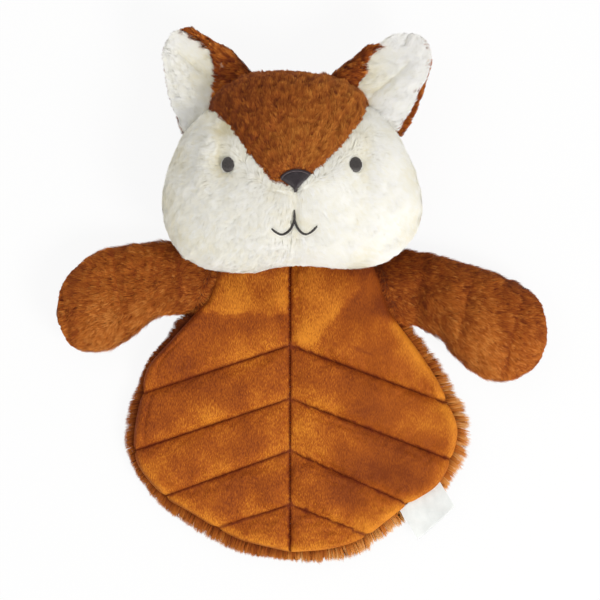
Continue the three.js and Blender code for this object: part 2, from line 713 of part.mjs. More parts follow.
/** Evenly stepped points of one strip's stretch of the edge, drawn in for the seams above and below. */
function edgeStretch(side, strip, steps) {
  const { points, starts } = edgePoints(side);
  const curve = new THREE.SplineCurve(points);
  const [from, to] = [starts[strip], starts[strip + 1]].map((n) => n / (points.length - 1));
  const stretch = [];
  for (let i = 0; i <= steps; i += 1) {
    stretch.push(curve.getPoint(from + (to - from) * (i / steps)));
  }
  const drawIn = (end, next) => end.clone().add(next.clone().sub(end).setLength(CLEARANCE));
  const last = stretch.length - 1;
  const lower = strip + 1 < STRIP_NAMES.length ? drawIn(stretch[last], stretch[last - 1]) : stretch[last];
  stretch[last] = lower;
  stretch[0] = strip > 0 ? drawIn(stretch[0], stretch[1]) : stretch[0];
  return stretch;
}

/** Swell of a quilted strip: nothing at its seams, full between them. */
function swell(share, power) {
  return 1 - Math.abs(2 * share - 1) ** power;
}

/** One quilted velour strip between the centre seam and the body's edge. */
function stripSolid(side, strip) {
  const steps = strip === 0 ? CHEST_ROWS : STRIP_ROWS;
  const edge = edgeStretch(side, strip, steps);
  const seamX = SIDE_SIGN[side] * (CLEARANCE / 2);
  const seamGap = (sewn) => (sewn ? CLEARANCE / 2 : 0);
  const lowerGap = seamGap(strip + 1 < STRIP_NAMES.length);
  const from = -CENTRE_SEAM_SHARES[strip] * BODY_LENGTH - seamGap(strip > 0);
  const to = -CENTRE_SEAM_SHARES[strip + 1] * BODY_LENGTH + lowerGap;
  edge[steps] = lowerGap > 0 ? edge[steps] : new THREE.Vector2(seamX, to);
  const [upper, lower] = [[], []];
  for (let r = 0; r <= steps; r += 1) {
    const down = r / steps;
    const start = new THREE.Vector2(seamX, from + (to - from) * down);
    const row = stripRow(start, edge[r], down);
    upper.push(row);
    lower.push(row.map((p) => new THREE.Vector3(p.x, p.y, FRONT_BASE)));
  }
  return solidOf(slabGeometry(upper, lower));
}

/** Upper points of one row of a strip, from the centre seam to the edge. */
function stripRow(start, end, down) {
  const row = [];
  for (let c = 0; c <= STRIP_COLUMNS; c += 1) {
    const out = Math.sin((Math.PI / 2) * (c / STRIP_COLUMNS));
    const p = start.clone().lerp(end, out);
    const seam = FRONT_SEAM_THICKNESS + (FRONT_EDGE_THICKNESS - FRONT_SEAM_THICKNESS) * out;
    const crown = FRONT_CROWN * swell(down, SEAM_EXPONENT) * swell(out, EDGE_EXPONENT);
    row.push(new THREE.Vector3(p.x, p.y, FRONT_BASE + seam + crown));
  }
  return row;
}

/** Closed outline of the body, with the given reach of fringe on each side. */
function bodyOutline(count, reach) {
  const corners = [];
  for (const side of SIDES) {
    const { points } = edgePoints(side);
    points[0].y = 0;
    const curve = new THREE.SplineCurve(points);
    const moved = points.map((p, i) => {
      const t = curve.getTangent(i / (points.length - 1));
      const out = new THREE.Vector2(-t.y, t.x).multiplyScalar(SIDE_SIGN[side]);
      return p.clone().add(out.multiplyScalar(reach(side, i)));
    });
    corners.push(side === "left" ? moved : moved.slice(0, -1).reverse());
  }
  const bottom = corners[0][corners[0].length - 1];
  bottom.x = 0;
  return smoothOutline(corners.flat(), count);
}

/** Outline moved inwards by a distance. */
function drawnIn(outline, distance) {
  const count = outline.length;
  return outline.map((p, i) => {
    const before = outline[(i + count - 1) % count];
    const after = outline[(i + 1) % count];
    const along = after.clone().sub(before).normalize();
    return new THREE.Vector2(p.x - along.y * distance, p.y + along.x * distance);
  });
}

/** Outline of the plush back, which reaches past the velour by its fringe. */
function backOutline() {
  const full = { left: FRINGE_LEFT, right: FRINGE_RIGHT };
  return bodyOutline(BACK_SIDES, (side, i) => full[side] * (FRINGE_SHARES[side][i] ?? 0));
}

/** Hollow that a rolled shoulder seam turns in. */
function shoulderHollow(side) {
  const [start, end] = shoulderLine(side);
  const past = end.clone().sub(start).setLength(CLEARANCE);
  return barSolid(start.clone().sub(past), end.clone().add(past), hollowRadius(SHOULDER_ROLL_RADIUS));
}

/** The space that the head needs while it nods forward. */
function headSweep() {
  return sweptAbout(headForm(CLEARANCE), neckLine(), sweepAngles(0, NECK_NOD_ANGLE));
}

/** The space that an arm needs while it lifts and drops. */
function armSweep(side) {
  const arm = solidOf(loftGeometry(armRings(side, -CLEARANCE, 0, 1)));
  const angles = sweepAngles(-ARM_DROP_ANGLE, ARM_LIFT_ANGLE).map((angle) => SIDE_SIGN[side] * angle);
  return sweptAbout(arm, shoulderLine(side), angles).add(shoulderHollow(side));
}

/** Everything that is cut from the flat body so that the head and arms can turn. */
function bodyHollows() {
  return armSweep("left").add(armSweep("right")).add(headSweep());
}

/** Plush back of the body with its rounded rim and the rolled seam at the neck. */
function bodyBackSolid() {
  const outline = backOutline();
  const rings = [];
  for (let i = 0; i <= CURVE_STEPS; i += 1) {
    const angle = Math.PI * (i / CURVE_STEPS);
    const height = (BACK_THICKNESS / 2) * (1 - Math.cos(angle));
    const inset = BACK_EDGE_RADIUS * (1 - Math.sin(angle));
    rings.push(drawnIn(outline, inset).map((p) => new THREE.Vector3(p.x, p.y, height)));
  }
  const sheet = solidOf(loftGeometry(rings));
  return largestLump(sheet.subtract(bodyHollows()).add(barSolid(...neckLine(), NECK_ROLL_RADIUS)));
}

/** Wadding sheet between the velour front and the plush back. */
function waddingSolid() {
  const outline = drawnIn(bodyOutline(WADDING_SIDES, () => 0), WADDING_INSET);
  const options = { depth: WADDING_THICKNESS, bevelEnabled: false };
  const sheet = new THREE.ExtrudeGeometry(new THREE.Shape(outline), options);
  sheet.translate(0, 0, WADDING_BASE);
  const neck = barSolid(...neckLine(OVERRUN), hollowRadius(NECK_ROLL_RADIUS));
  return largestLump(solidOf(sheet).subtract(bodyHollows()).subtract(neck));
}

/** Line of a shoulder seam, which an arm lifts about, from its upper to its lower end. */
function shoulderLine(side) {
  return SHOULDER_SHARES[side].map((share) => {
    const p = onBody(side, share);
    return new THREE.Vector3(p.x, p.y, SHOULDER_HEIGHT);
  });
}

/** Rings of an arm between two shares of its rows, shrunk all round. */
function armRings(side, shrink, from, to) {
  const [upperEnd, lowerEnd] = shoulderLine(side);
  const root = upperEnd.clone().add(lowerEnd).divideScalar(2);
  const place = ([u, v]) => {
    return new THREE.Vector3(root.x + SIDE_SIGN[side] * u * ARM_LENGTH, root.y + v * ARM_WIDTH, 0);
  };
  const rows = ARM_ROW_SHARES[side];
  const upper = new THREE.CatmullRomCurve3(rows.map((row) => place(row[0])));
  const lower = new THREE.CatmullRomCurve3(rows.map((row) => place(row[1])));
  const thickness = new THREE.SplineCurve(rows.map((row, i) => new THREE.Vector2(i, row[2] * ARM_THICKNESS)));
  const rings = [];
  let fattest = 0;
  for (let i = 0; i <= ARM_STEPS; i += 1) {
    const share = from + (to - from) * (i / ARM_STEPS);
    const [a, b] = [upper.getPoint(share), lower.getPoint(share)];
    const full = thickness.getPoint(share).y;
    fattest = Math.max(fattest, full);
    rings.push(armRing(a, b, full, fattest, shrink));
  }
  return rings;
}

/** One upright ring of an arm between its edge points, centred at half the fattest thickness so far. */
function armRing(a, b, full, fattest, shrink) {
  const middle = a.clone().add(b).divideScalar(2);
  const across = a.clone().sub(b);
  const half = Math.max(across.length() / 2 - shrink, CLEARANCE);
  const rise = Math.max(full / 2 - shrink, CLEARANCE);
  across.normalize();
  const ring = [];
  for (let i = 0; i < ARM_SIDES; i += 1) {
    const angle = 2 * Math.PI * (i / ARM_SIDES);
    const [c, s] = [Math.cos(angle), Math.sin(angle)];
    const out = Math.sign(c) * half * Math.abs(c) ** (2 / ARM_FORM_EXPONENT);
    const up = Math.sign(s) * rise * Math.abs(s) ** (2 / ARM_FORM_EXPONENT);
    const p = middle.clone().add(across.clone().multiplyScalar(out));
    ring.push(new THREE.Vector3(p.x, p.y, fattest / 2 - REST_CUT + up));
  }
  return ring;
}

/** The space that an arm leaves for the head: at rest while the arm lifts, and nodding while it drops. */
function armClearance(side) {
  const line = shoulderLine(side);
  const turns = (low, high) => sweepAngles(low, high).map((angle) => -SIDE_SIGN[side] * angle);
  const lifting = sweptAbout(headForm(CLEARANCE), line, turns(0, ARM_LIFT_ANGLE));
  return lifting.add(sweptAbout(headSweep(), line, turns(-ARM_DROP_ANGLE, 0)));
}

/** Front half, back half and stuffing of an arm, cut clear of the head. */
function armPieces(side) {
  const roll = barSolid(...shoulderLine(side), SHOULDER_ROLL_RADIUS);
  const outer = solidOf(loftGeometry(armRings(side, 0, 0, 1))).add(roll);
  const inner = solidOf(loftGeometry(armRings(side, ARM_PILE, ARM_FILL_START_SHARE, ARM_FILL_END_SHARE)));
  const fill = solidOf(loftGeometry(
    armRings(side, ARM_PILE + CLEARANCE, ARM_FILL_START_SHARE, ARM_FILL_END_SHARE),
  ));
  const clear = armClearance(side);
  const skin = keepBeyond(outer.subtract(inner).subtract(clear), [0, 0, 1], 0);
  const reach = SIDE_SIGN[side] * ARM_LENGTH;
  const rise = ARM_THICKNESS / 2 - REST_CUT - SHOULDER_HEIGHT;
  const tilt = new THREE.Vector3(-rise, 0, reach).normalize().multiplyScalar(SIDE_SIGN[side]);
  const [upperEnd, lowerEnd] = shoulderLine(side);
  const level = upperEnd.clone().add(lowerEnd).divideScalar(2).dot(tilt);
  const names = [`arm_${side}_front`, `arm_${side}_back`, `arm_${side}_stuffing`];
  return {
    [names[0]]: largestLump(keepBeyond(skin, tilt.toArray(), level + CLEARANCE / 2)),
    [names[1]]: largestLump(keepBeyond(skin, tilt.clone().negate().toArray(), -level + CLEARANCE / 2)),
    [names[2]]: largestLump(fill.subtract(clear)),
  };
}

/** Line of the label's seam on the lower right edge of the body. */
function labelLine() {
  const { points } = edgePoints("right");
  const curve = new THREE.SplineCurve(points);
  const middle = onBody("right", LABEL_MIDDLE_SHARES);
  const samples = curve.getSpacedPoints(BACK_SIDES);
  const nearest = samples.reduce((best, p) => (p.distanceTo(middle) < best.distanceTo(middle) ? p : best));
  const n = samples.indexOf(nearest);
  const along = samples[n + 1].clone().sub(samples[n - 1]).normalize();
  const away = new THREE.Vector2(-along.y, along.x);
  return { middle: nearest.clone().add(away.clone().multiplyScalar(LABEL_STAND_OFF)), along, away };
}

/** Satin label: one ribbon folded back on itself, its fold outwards. */
function labelSolid() {
  const { middle, along, away } = labelLine();
  const radius = LABEL_FOLD_RADIUS;
  const profile = [[0, -radius]];
  for (let i = 0; i <= FOLD_SIDES; i += 1) {
    const angle = Math.PI * (i / FOLD_SIDES - 1 / 2);
    profile.push([LABEL_LENGTH - radius + radius * Math.cos(angle), radius * Math.sin(angle)]);
  }
  profile.push([0, radius]);
  const hollow = radius - RIBBON_THICKNESS;
  profile.push([0, hollow]);
  for (let i = 0; i <= FOLD_SIDES; i += 1) {
    const angle = Math.PI * (1 / 2 - i / FOLD_SIDES);
    profile.push([LABEL_LENGTH - radius + hollow * Math.cos(angle), hollow * Math.sin(angle)]);
  }
  profile.push([0, -hollow]);
  const height = BACK_THICKNESS + CLEARANCE + radius;
  const rings = [-LABEL_WIDTH / 2, LABEL_WIDTH / 2].map((side) => profile.map(([out, up]) => {
    const p = middle.clone().add(along.clone().multiplyScalar(side)).add(away.clone().multiplyScalar(out));
    return new THREE.Vector3(p.x, p.y, height + up);
  }));
  return solidOf(loftGeometry(rings));
}

/** Material of one sub-part. */
function finish(colour, roughness) {
  return new THREE.MeshStandardMaterial({ color: colour, roughness, metalness: 0 });
}

const part = new THREE.Group();

/** Add a named mesh for a solid. */
function addPiece(name, solid, colour, roughness) {
  const mesh = new THREE.Mesh(geometryOf(solid), finish(colour, roughness));
  mesh.name = name;
  part.add(mesh);
}

/** Head panels and stuffing with their own colours. */
function addHead() {
  const pieces = headPieces();
  for (const [name, solid] of Object.entries(pieces)) {
    const cream = name.startsWith("cheek") ? COLOURS.cream : COLOURS.rust;
    const colour = name === "head_stuffing" ? COLOURS.fibre : cream;
    addPiece(name, solid, colour, PILE_ROUGHNESS);
  }
}

/** Eyes, nose and mouth. */
function addFace() {
  for (const side of SIDES) {
    addPiece(`eye_${side}`, eyeSolid(side), COLOURS.thread, THREAD_ROUGHNESS);
  }
  addPiece("nose", noseSolid(), COLOURS.nose, THREAD_ROUGHNESS);
  addPiece("mouth", mouthSolid(), COLOURS.thread, THREAD_ROUGHNESS);
}

/** Both ears, each a back and a lining. */
function addEars() {
  for (const side of SIDES) {
    addPiece(`ear_${side}_back`, earBackSolid(side), COLOURS.rust, PILE_ROUGHNESS);
    addPiece(`ear_${side}_lining`, earLiningSolid(side), COLOURS.cream, PILE_ROUGHNESS);
  }
}

/** Both arms. */
function addArms() {
  for (const side of SIDES) {
    for (const [name, solid] of Object.entries(armPieces(side))) {
      const colour = name.endsWith("stuffing") ? COLOURS.fibre : COLOURS.rust;
      addPiece(name, solid, colour, PILE_ROUGHNESS);
    }
  }
}

/** The flat body: plush back, wadding, ten velour strips and the label. */
function addBody() {
  addPiece("body_back_panel", bodyBackSolid(), COLOURS.rust, PILE_ROUGHNESS);
  addPiece("body_wadding", waddingSolid(), COLOURS.fibre, PILE_ROUGHNESS);
  const hollows = bodyHollows().add(barSolid(...neckLine(OVERRUN), hollowRadius(NECK_ROLL_RADIUS)));
  for (const side of SIDES) {
    STRIP_NAMES.forEach((name, strip) => {
      const solid = largestLump(stripSolid(side, strip).subtract(hollows));
      addPiece(`${name}_${side}`, solid, COLOURS.velour, VELOUR_ROUGHNESS);
    });
  }
  addPiece("label", labelSolid(), COLOURS.ribbon, RIBBON_ROUGHNESS);
}

addHead();
addFace();
addEars();
addArms();
addBody();

// The origin is on the floor under the middle of the whole toy.
const extent = new THREE.Box3().setFromObject(part);
const middle = extent.getCenter(new THREE.Vector3());
part.position.set(-middle.x, -middle.y, -extent.min.z);
part.updateMatrixWorld(true);

export default part;
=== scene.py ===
"""Plush fox comforter in rust plush, cream plush and quilted velour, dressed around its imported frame.

The toy lies on its back with its face up. Lengths are in metres, and shape tables are shares of the
sizes that they follow. Every fabric is a skin with a pile of short strands that grows out of it.
"""
import json
import logging
import math
from dataclasses import dataclass, replace
from enum import Enum
from typing import Callable, Sequence

import bmesh
import bpy
import numpy as np
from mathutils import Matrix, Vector
from mathutils.kdtree import KDTree


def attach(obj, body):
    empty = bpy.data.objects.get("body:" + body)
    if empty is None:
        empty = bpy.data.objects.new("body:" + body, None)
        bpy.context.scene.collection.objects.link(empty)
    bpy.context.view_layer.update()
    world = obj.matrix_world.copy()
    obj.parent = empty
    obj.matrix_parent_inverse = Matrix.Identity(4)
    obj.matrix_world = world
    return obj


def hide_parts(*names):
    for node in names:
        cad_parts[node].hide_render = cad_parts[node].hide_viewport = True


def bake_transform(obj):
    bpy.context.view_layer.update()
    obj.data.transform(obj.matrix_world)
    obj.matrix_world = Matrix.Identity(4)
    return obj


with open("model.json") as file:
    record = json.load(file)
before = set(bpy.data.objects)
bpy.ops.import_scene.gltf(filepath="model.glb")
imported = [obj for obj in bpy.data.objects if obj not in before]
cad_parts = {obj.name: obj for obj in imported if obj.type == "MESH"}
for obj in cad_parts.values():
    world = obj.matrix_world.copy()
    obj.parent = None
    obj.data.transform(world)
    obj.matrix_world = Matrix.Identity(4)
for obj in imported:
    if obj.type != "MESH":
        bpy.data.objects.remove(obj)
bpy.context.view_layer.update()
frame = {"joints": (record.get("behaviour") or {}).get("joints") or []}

LOG = logging.getLogger("fox_comforter")
Array = np.ndarray
Shape = Callable[[Array], Array]
Flow = Callable[[Array, Array], Array]
Chance = np.random.Generator
Mesh = bmesh.types.BMesh
Object = bpy.types.Object
Material = bpy.types.Material
Node = bpy.types.Node
Tree = bpy.types.NodeTree
Socket = bpy.types.NodeSocket

JOINTS = {joint["name"]: joint for joint in frame["joints"]}
NECK = np.array(JOINTS["neck_nod"]["pos_m"])
MM = 0.001
TURN = 2 * math.pi
# Least height of the pile and the skins over the floor.
FLOOR_GAP = 0.0002
SKIN_FLOOR_GAP = 0.0008
# How far the roots of the pile stand in the cloth, and how many points are trimmed at a time.
ROOT_DEPTH = 0.0004
TRIM_BATCH = 8000
# Angle in degrees at which no edge of a soft skin stays sharp.
ALL_SOFT = 180


class Side(Enum):
    """The viewer's left or right of the toy."""

    LEFT = "left"
    RIGHT = "right"

    @property
    def sign(self) -> int:
        """-1 on the left and 1 on the right."""
        return -1 if self is Side.LEFT else 1


# Outline of the head, as shares of its half width and half height, anticlockwise from the right cheek.
HEAD_OUTLINE_SHARES = [
    (1, -0.3), (0.97, -0.09), (0.91, 0.12), (0.81, 0.37), (0.71, 0.52), (0.615, 0.64), (0.53, 0.785),
    (0.385, 0.905), (0.215, 0.965), (-0.08, 1), (-0.29, 0.97), (-0.44, 0.91), (-0.575, 0.8), (-0.655, 0.62),
    (-0.75, 0.49), (-0.845, 0.355), (-0.925, 0.12), (-0.98, -0.09), (-1, -0.28), (-0.985, -0.49),
    (-0.935, -0.66), (-0.845, -0.84), (-0.765, -0.89), (-0.64, -0.965), (-0.34, -1), (-0.14, -0.945),
    (0.02, -0.925), (0.21, -0.937), (0.455, -0.958), (0.665, -0.915), (0.795, -0.83), (0.86, -0.76),
    (0.94, -0.63), (0.99, -0.485),
]
# Lower border of the forehead, from left to right, in the same shares.
FOREHEAD_SHARES = [
    (-1, 0.72), (-0.655, 0.61), (-0.56, 0.53), (-0.45, 0.38), (-0.32, 0.11), (-0.225, -0.015), (-0.15, -0.13),
    (0.03, -0.18), (0.155, -0.05), (0.24, 0.02), (0.3, 0.12), (0.395, 0.23), (0.46, 0.36), (0.515, 0.45),
    (0.565, 0.58), (0.615, 0.64), (1, 0.76),
]
# Ends of each ear's base in the same shares, the outer end first.
EAR_BASE_SHARES = {
    Side.LEFT: [(-0.84, 0.355), (-0.3, 0.965)], Side.RIGHT: [(0.84, 0.35), (0.29, 0.945)],
}
# Ear rows from base to tip: outer edge, folded inner edge and the fold's free edge, each as a share of
# the base along it and of the ear's length away from it.
EAR_ROW_SHARES = {
    Side.LEFT: [
        [(-0.5, 0), (0.5, 0), (-0.13, 0)], [(-0.39, 0.29), (0.495, 0.2), (0.12, 0.22)],
        [(-0.29, 0.51), (0.49, 0.4), (0.22, 0.38)], [(-0.16, 0.73), (0.425, 0.55), (0.28, 0.53)],
        [(-0.045, 0.89), (0.385, 0.69), (0.265, 0.66)], [(0.1, 0.95), (0.345, 0.82), (0.25, 0.8)],
        [(0.15, 0.965), (0.33, 0.88), (0.29, 0.89)],
    ],
    Side.RIGHT: [
        [(-0.5, 0), (0.5, 0), (0.1, 0)], [(-0.465, 0.24), (0.47, 0.19), (0.17, 0.21)],
        [(-0.405, 0.46), (0.425, 0.37), (0.23, 0.33)], [(-0.305, 0.71), (0.405, 0.54), (0.26, 0.42)],
        [(-0.21, 0.9), (0.34, 0.64), (0.25, 0.53)], [(-0.085, 1), (0.32, 0.76), (0.28, 0.66)],
        [(0.05, 1.015), (0.25, 0.87), (0.22, 0.85)],
    ],
}
# Edge of the velour front from neck to hem, one list for each strip, as shares of the body's half width
# and of its length below the neck.
BODY_EDGE_SHARES = {
    Side.LEFT: [
        [(0.4, 0.03), (0.44, 0.045), (0.456, 0.085), (0.475, 0.134), (0.51, 0.181), (0.565, 0.21),
         (0.735, 0.309), (0.88, 0.397)],
        [(0.92, 0.483), (0.96, 0.584)], [(0.967, 0.67), (0.919, 0.738)], [(0.78, 0.819), (0.62, 0.87)],
        [(0.455, 0.922), (0.3, 0.961), (0.15, 0.982)],
    ],
    Side.RIGHT: [
        [(0.42, 0.03), (0.5, 0.05), (0.525, 0.08), (0.565, 0.124), (0.6, 0.186), (0.645, 0.238),
         (0.796, 0.345), (0.915, 0.44)],
        [(0.98, 0.514), (1.04, 0.6)], [(1, 0.7), (0.91, 0.784)], [(0.733, 0.845), (0.615, 0.892)],
        [(0.48, 0.946), (0.35, 0.976), (0.2, 0.993)],
    ],
}
CENTRE_SEAM_SHARES = [0.03, 0.327, 0.5, 0.67, 0.845, 1]
STRIP_NAMES = ["chest", "upper_band", "middle_band", "lower_band", "tip_band"]
SHOULDER_SHARES = {
    Side.LEFT: [(0.45, 0.045), (0.565, 0.21)], Side.RIGHT: [(0.525, 0.05), (0.645, 0.238)],
}
# Arm rows from shoulder to paw: upper edge, lower edge and thickness, as shares of the arm's length
# outwards and of its width upwards.
ARM_ROW_SHARES = {
    Side.LEFT: [
        [(-0.058, 0.245), (0.058, -0.245), 0.375], [(0.117, 0.4), (0.169, -0.298), 0.5],
        [(0.292, 0.44), (0.292, -0.312), 0.68], [(0.422, 0.413), (0.415, -0.413), 0.82],
        [(0.551, 0.393), (0.538, -0.561), 0.93], [(0.694, 0.341), (0.661, -0.648), 1],
        [(0.811, 0.235), (0.785, -0.653), 0.96], [(0.901, 0.11), (0.875, -0.6), 0.84],
        [(0.96, -0.014), (0.934, -0.504), 0.6], [(0.984, -0.2), (0.984, -0.34), 0.24],
    ],
    Side.RIGHT: [
        [(-0.055, 0.288), (0.055, -0.269), 0.375], [(0.08, 0.4), (0.133, -0.326), 0.5],
        [(0.23, 0.374), (0.256, -0.369), 0.66], [(0.373, 0.331), (0.366, -0.47), 0.82],
        [(0.516, 0.269), (0.464, -0.638), 0.94], [(0.665, 0.202), (0.587, -0.787), 1],
        [(0.801, 0.12), (0.73, -0.869), 1], [(0.924, 0.014), (0.859, -0.825), 0.9],
        [(1.005, -0.125), (0.97, -0.72), 0.68], [(1.046, -0.36), (1.04, -0.5), 0.28],
    ],
}
LABEL_MIDDLE_SHARES = (0.82, 0.84)
# How far the fringe stands out from the velour: distance below the neck and reach, both in millimetres.
FRINGE_REACH_MM = {
    Side.LEFT: [
        (24, 3), (34, 6.6), (46, 5.8), (56, 2.8), (64, 2.6), (70, 2.2), (76, 3), (84, 5.4), (100, 6.2),
        (110, 5.6), (119, 3.8), (130, 4.2), (140, 6), (150, 7.6), (162, 7.6), (166.5, 6.8), (170, 4.8),
    ],
    Side.RIGHT: [
        (28, 3), (38, 5), (50, 5.6), (60, 6), (78, 6.8), (95, 7.4), (114, 8), (124, 6.6), (134, 5.6),
        (146, 6.6), (158, 7), (166, 7.4), (168.5, 7), (170, 4.8),
    ],
}
# Creases of each ear's lining, as shares of its base line's length inwards and of its length to the tip.
EAR_CREASE_SHARES = {
    Side.LEFT: [[(0.05, 0.71), (0.07, 0.57), (0.107, 0.38)]],
    Side.RIGHT: [[(-0.05, 0.64), (0, 0.37), (0.05, 0.11)], [(0.17, 1), (0.116, 0.81)]],
}
# Outlines of the nose and of the mouth's strokes, as shares of their width and height.
NOSE_SHARES = [
    (-0.5, -0.4), (-0.36, -0.16), (-0.12, -0.02), (0.1, 0), (0.32, -0.06), (0.5, -0.18), (0.34, -0.45),
    (0.12, -0.75), (0.05, -0.84), (0.04, -1), (-0.06, -1), (-0.06, -0.84), (-0.2, -0.7),
]
MOUTH_SHARES = [
    [(0, 0), (0, -0.25), (0, -0.45)],
    [(0, -0.4), (-0.03, -0.56), (-0.09, -0.79), (-0.185, -0.945), (-0.29, -1), (-0.4, -0.91),
     (-0.5, -0.75)],
    [(0, -0.4), (0.025, -0.54), (0.07, -0.73), (0.145, -0.905), (0.245, -0.985), (0.37, -0.885),
     (0.5, -0.65)],
]
# Folds of the face: their two ends in the head's shares, then depth, less than nothing for a ridge, and
# width. Darts and cheeks beside the eyes, the seam under the nose, the chin, the jaws and the brow.
FACE_FOLDS = [
    ((-0.515, 0.36), (-0.535, 0.06), 0.0024, 0.0045), ((-0.61, 0.25), (-0.65, -0.1), -0.0022, 0.006),
    ((0.52, 0.36), (0.545, -0.12), 0.0015, 0.004), ((0.62, 0.2), (0.63, -0.2), -0.0012, 0.006),
    ((0.024, -0.22), (0.03, -0.95), 0.0009, 0.0022), ((-0.3, -0.72), (0.35, -0.72), -0.0012, 0.009),
    ((-0.55, -0.45), (-0.3, -0.3), -0.0014, 0.013), ((0.6, -0.4), (0.35, -0.3), -0.0014, 0.013),
    ((0, 0.1), (0, 0.7), -0.0012, 0.02),
]
# Soft lighter and darker spots of the velour, partly its brushed nap and partly painted light where the
# right-hand strips catch the lamp: distance right of and below the neck, half width, half height and how
# much lighter each one is.
NAP_AND_PAINTED_LIGHT_SPOTS = [
    (0.062, 0.056, 0.018, 0.018, 0.2), (0.08, 0.095, 0.014, 0.03, 0.2), (-0.052, 0.08, 0.02, 0.012, -0.08),
    (0.035, 0.072, 0.022, 0.008, -0.12), (0.02, 0.155, 0.03, 0.01, 0.1), (0.055, 0.125, 0.02, 0.012, -0.1),
    (-0.025, 0.046, 0.026, 0.01, -0.12), (0.03, 0.135, 0.03, 0.012, -0.14), (-0.009, 0.07, 0.01, 0.012, 0.14),
    (-0.01, 0.1, 0.012, 0.014, 0.12), (-0.05, 0.108, 0.024, 0.01, -0.1), (-0.022, 0.152, 0.016, 0.008, -0.16),
    (0.038, 0.038, 0.012, 0.012, -0.1), (-0.03, 0.078, 0.016, 0.008, -0.08), (-0.012, 0.13, 0.014, 0.01, -0.1),
    (-0.042, 0.06, 0.026, 0.012, 0.08), (-0.042, 0.094, 0.03, 0.014, 0.09),
]
# Ends of the small dart in the right chest strip, from the neck.
CHEST_DART = [(0.0363, -0.0571), (0.0453, -0.0608)]
# Shade of each ear's lining, lighter on the right ear as painted light from the lamp's side, and how much
# warmer and darker it is down in its hollow, as painted shade.
EAR_LINING_PAINTED_SHADES = {Side.LEFT: (0.86, 0.46), Side.RIGHT: (1.02, 0.58)}
# Folds across each arm, as places along its length and depths.
ARM_FOLDS = {
    Side.LEFT: [(0.12, 0.0016), (0.45, 0.0022), (0.78, 0.0014)],
    Side.RIGHT: [(0.2, 0.0016), (0.45, 0.0016), (0.7, 0.0014)],
}


def colour(code: str) -> tuple[float, float, float, float]:
    """Linear colour for a hexadecimal code such as "#b5651d"."""
    parts = [int(code[i:i + 2], 16) / 255 for i in (1, 3, 5)]
    return (*(p / 12.92 if p <= 0.04045 else ((p + 0.055) / 1.055) ** 2.4 for p in parts), 1.0)


def unit(vectors: Array) -> Array:
    """Vectors scaled to a length of one."""
    return vectors / np.maximum(np.linalg.norm(vectors, axis=-1, keepdims=True), 1e-12)


def smoothstep(low: float, high: float, value: Array) -> Array:
    """Smooth rise from 0 at low to 1 at high."""
    t = np.clip((value - low) / (high - low), 0, 1)
    return t * t * (3 - 2 * t)


def bell(value: Array, width: float) -> Array:
    """Bell curve that is 1 at zero and fades over a width."""
    return np.exp(-((value / width) ** 2))


def spline(points: Sequence, at: Array) -> Array:
    """Smooth curve through points.

    Args:
        points: The points, one in each row.
        at: Shares of the curve's spans, from 0 to 1.

    Returns:
        The curve's point at each share.
    """
    knots = np.asarray(points, float)
    last = len(knots) - 1
    t = np.clip(np.asarray(at, float), 0, 1) * last
    i = np.minimum(t.astype(int), last - 1)
    w = (t - i)[..., None]
    before, start = knots[np.maximum(i - 1, 0)], knots[i]
    end, after = knots[i + 1], knots[np.minimum(i + 2, last)]
    v0, v1 = (end - before) / 2, (after - start) / 2
    cubic = (2 * start - 2 * end + v0 + v1) * w ** 3
    return cubic + (-3 * start + 3 * end - 2 * v0 - v1) * w ** 2 + v0 * w + start


def waves(points: Array, spacing: float, seed: int, count: int = 14) -> Array:
    """Smooth seeded noise in space.

    Args:
        points: Places to read it at.
        spacing: Rough distance between its crests.
        seed: Seed of its random directions.
        count: Number of sine waves that are added.

    Returns:
        One value for each place, mostly between -1 and 1.
    """
    rng = np.random.default_rng(seed)
    ways = unit(rng.normal(size=(count, 3))) * rng.uniform(0.6, 1.7, (count, 1)) * TURN / spacing
    phases = rng.uniform(0, TURN, count)
    return np.sin(points @ ways.T + phases).sum(axis=1) / math.sqrt(count / 2)


def outwards(ring: Array) -> Array:
    """Directions to the right of a closed ring's run, at its corners."""
    ahead = np.roll(ring, -1, axis=0) - np.roll(ring, 1, axis=0)
    return unit(np.column_stack([ahead[:, 1], -ahead[:, 0]]))


def swollen(value: Array, power: float) -> Array:
    """Power of a value that keeps its sign."""
    return np.sign(value) * np.abs(value) ** power


@dataclass
class RadialOutline:
    """A closed outline that is seen whole from its centre."""

    centre: Array
    points: Array

    def __post_init__(self) -> None:
        """Work out the radius at each angle."""
        away = self.points - self.centre
        angle = np.arctan2(away[:, 1], away[:, 0])
        order = np.argsort(angle)
        self.angles, self.radii = angle[order], np.linalg.norm(away, axis=1)[order]

    def radius(self, angle: Array) -> Array:
        """Distance from the centre to the outline at each angle."""
        return np.interp(angle, self.angles, self.radii, period=TURN)

    def share(self, x: Array, y: Array) -> Array:
        """How far out places are, 0 at the centre and 1 on the outline."""
        dx, dy = x - self.centre[0], y - self.centre[1]
        return np.hypot(dx, dy) / self.radius(np.arctan2(dy, dx))

    def fitted(self, sphere: Array, power: float, scale: float = 1.0) -> tuple[Array, Array]:
        """Fit a unit sphere, seen from above, to the outline.

        Args:
            sphere: Points of the sphere.
            power: Power of the way out, less than 1 for a fuller rim.
            scale: Size of the result, as a share of the outline.

        Returns:
            Places across and up.
        """
        angle = np.arctan2(sphere[:, 1], sphere[:, 0])
        reach = np.hypot(sphere[:, 0], sphere[:, 1]) ** power * self.radius(angle) * scale
        return self.centre[0] + reach * np.cos(angle), self.centre[1] + reach * np.sin(angle)


def ground(x: Array, y: Array) -> Array:
    """Places in space for places seen from above, all at height nothing."""
    return np.stack([x, y, x * 0], axis=-1)


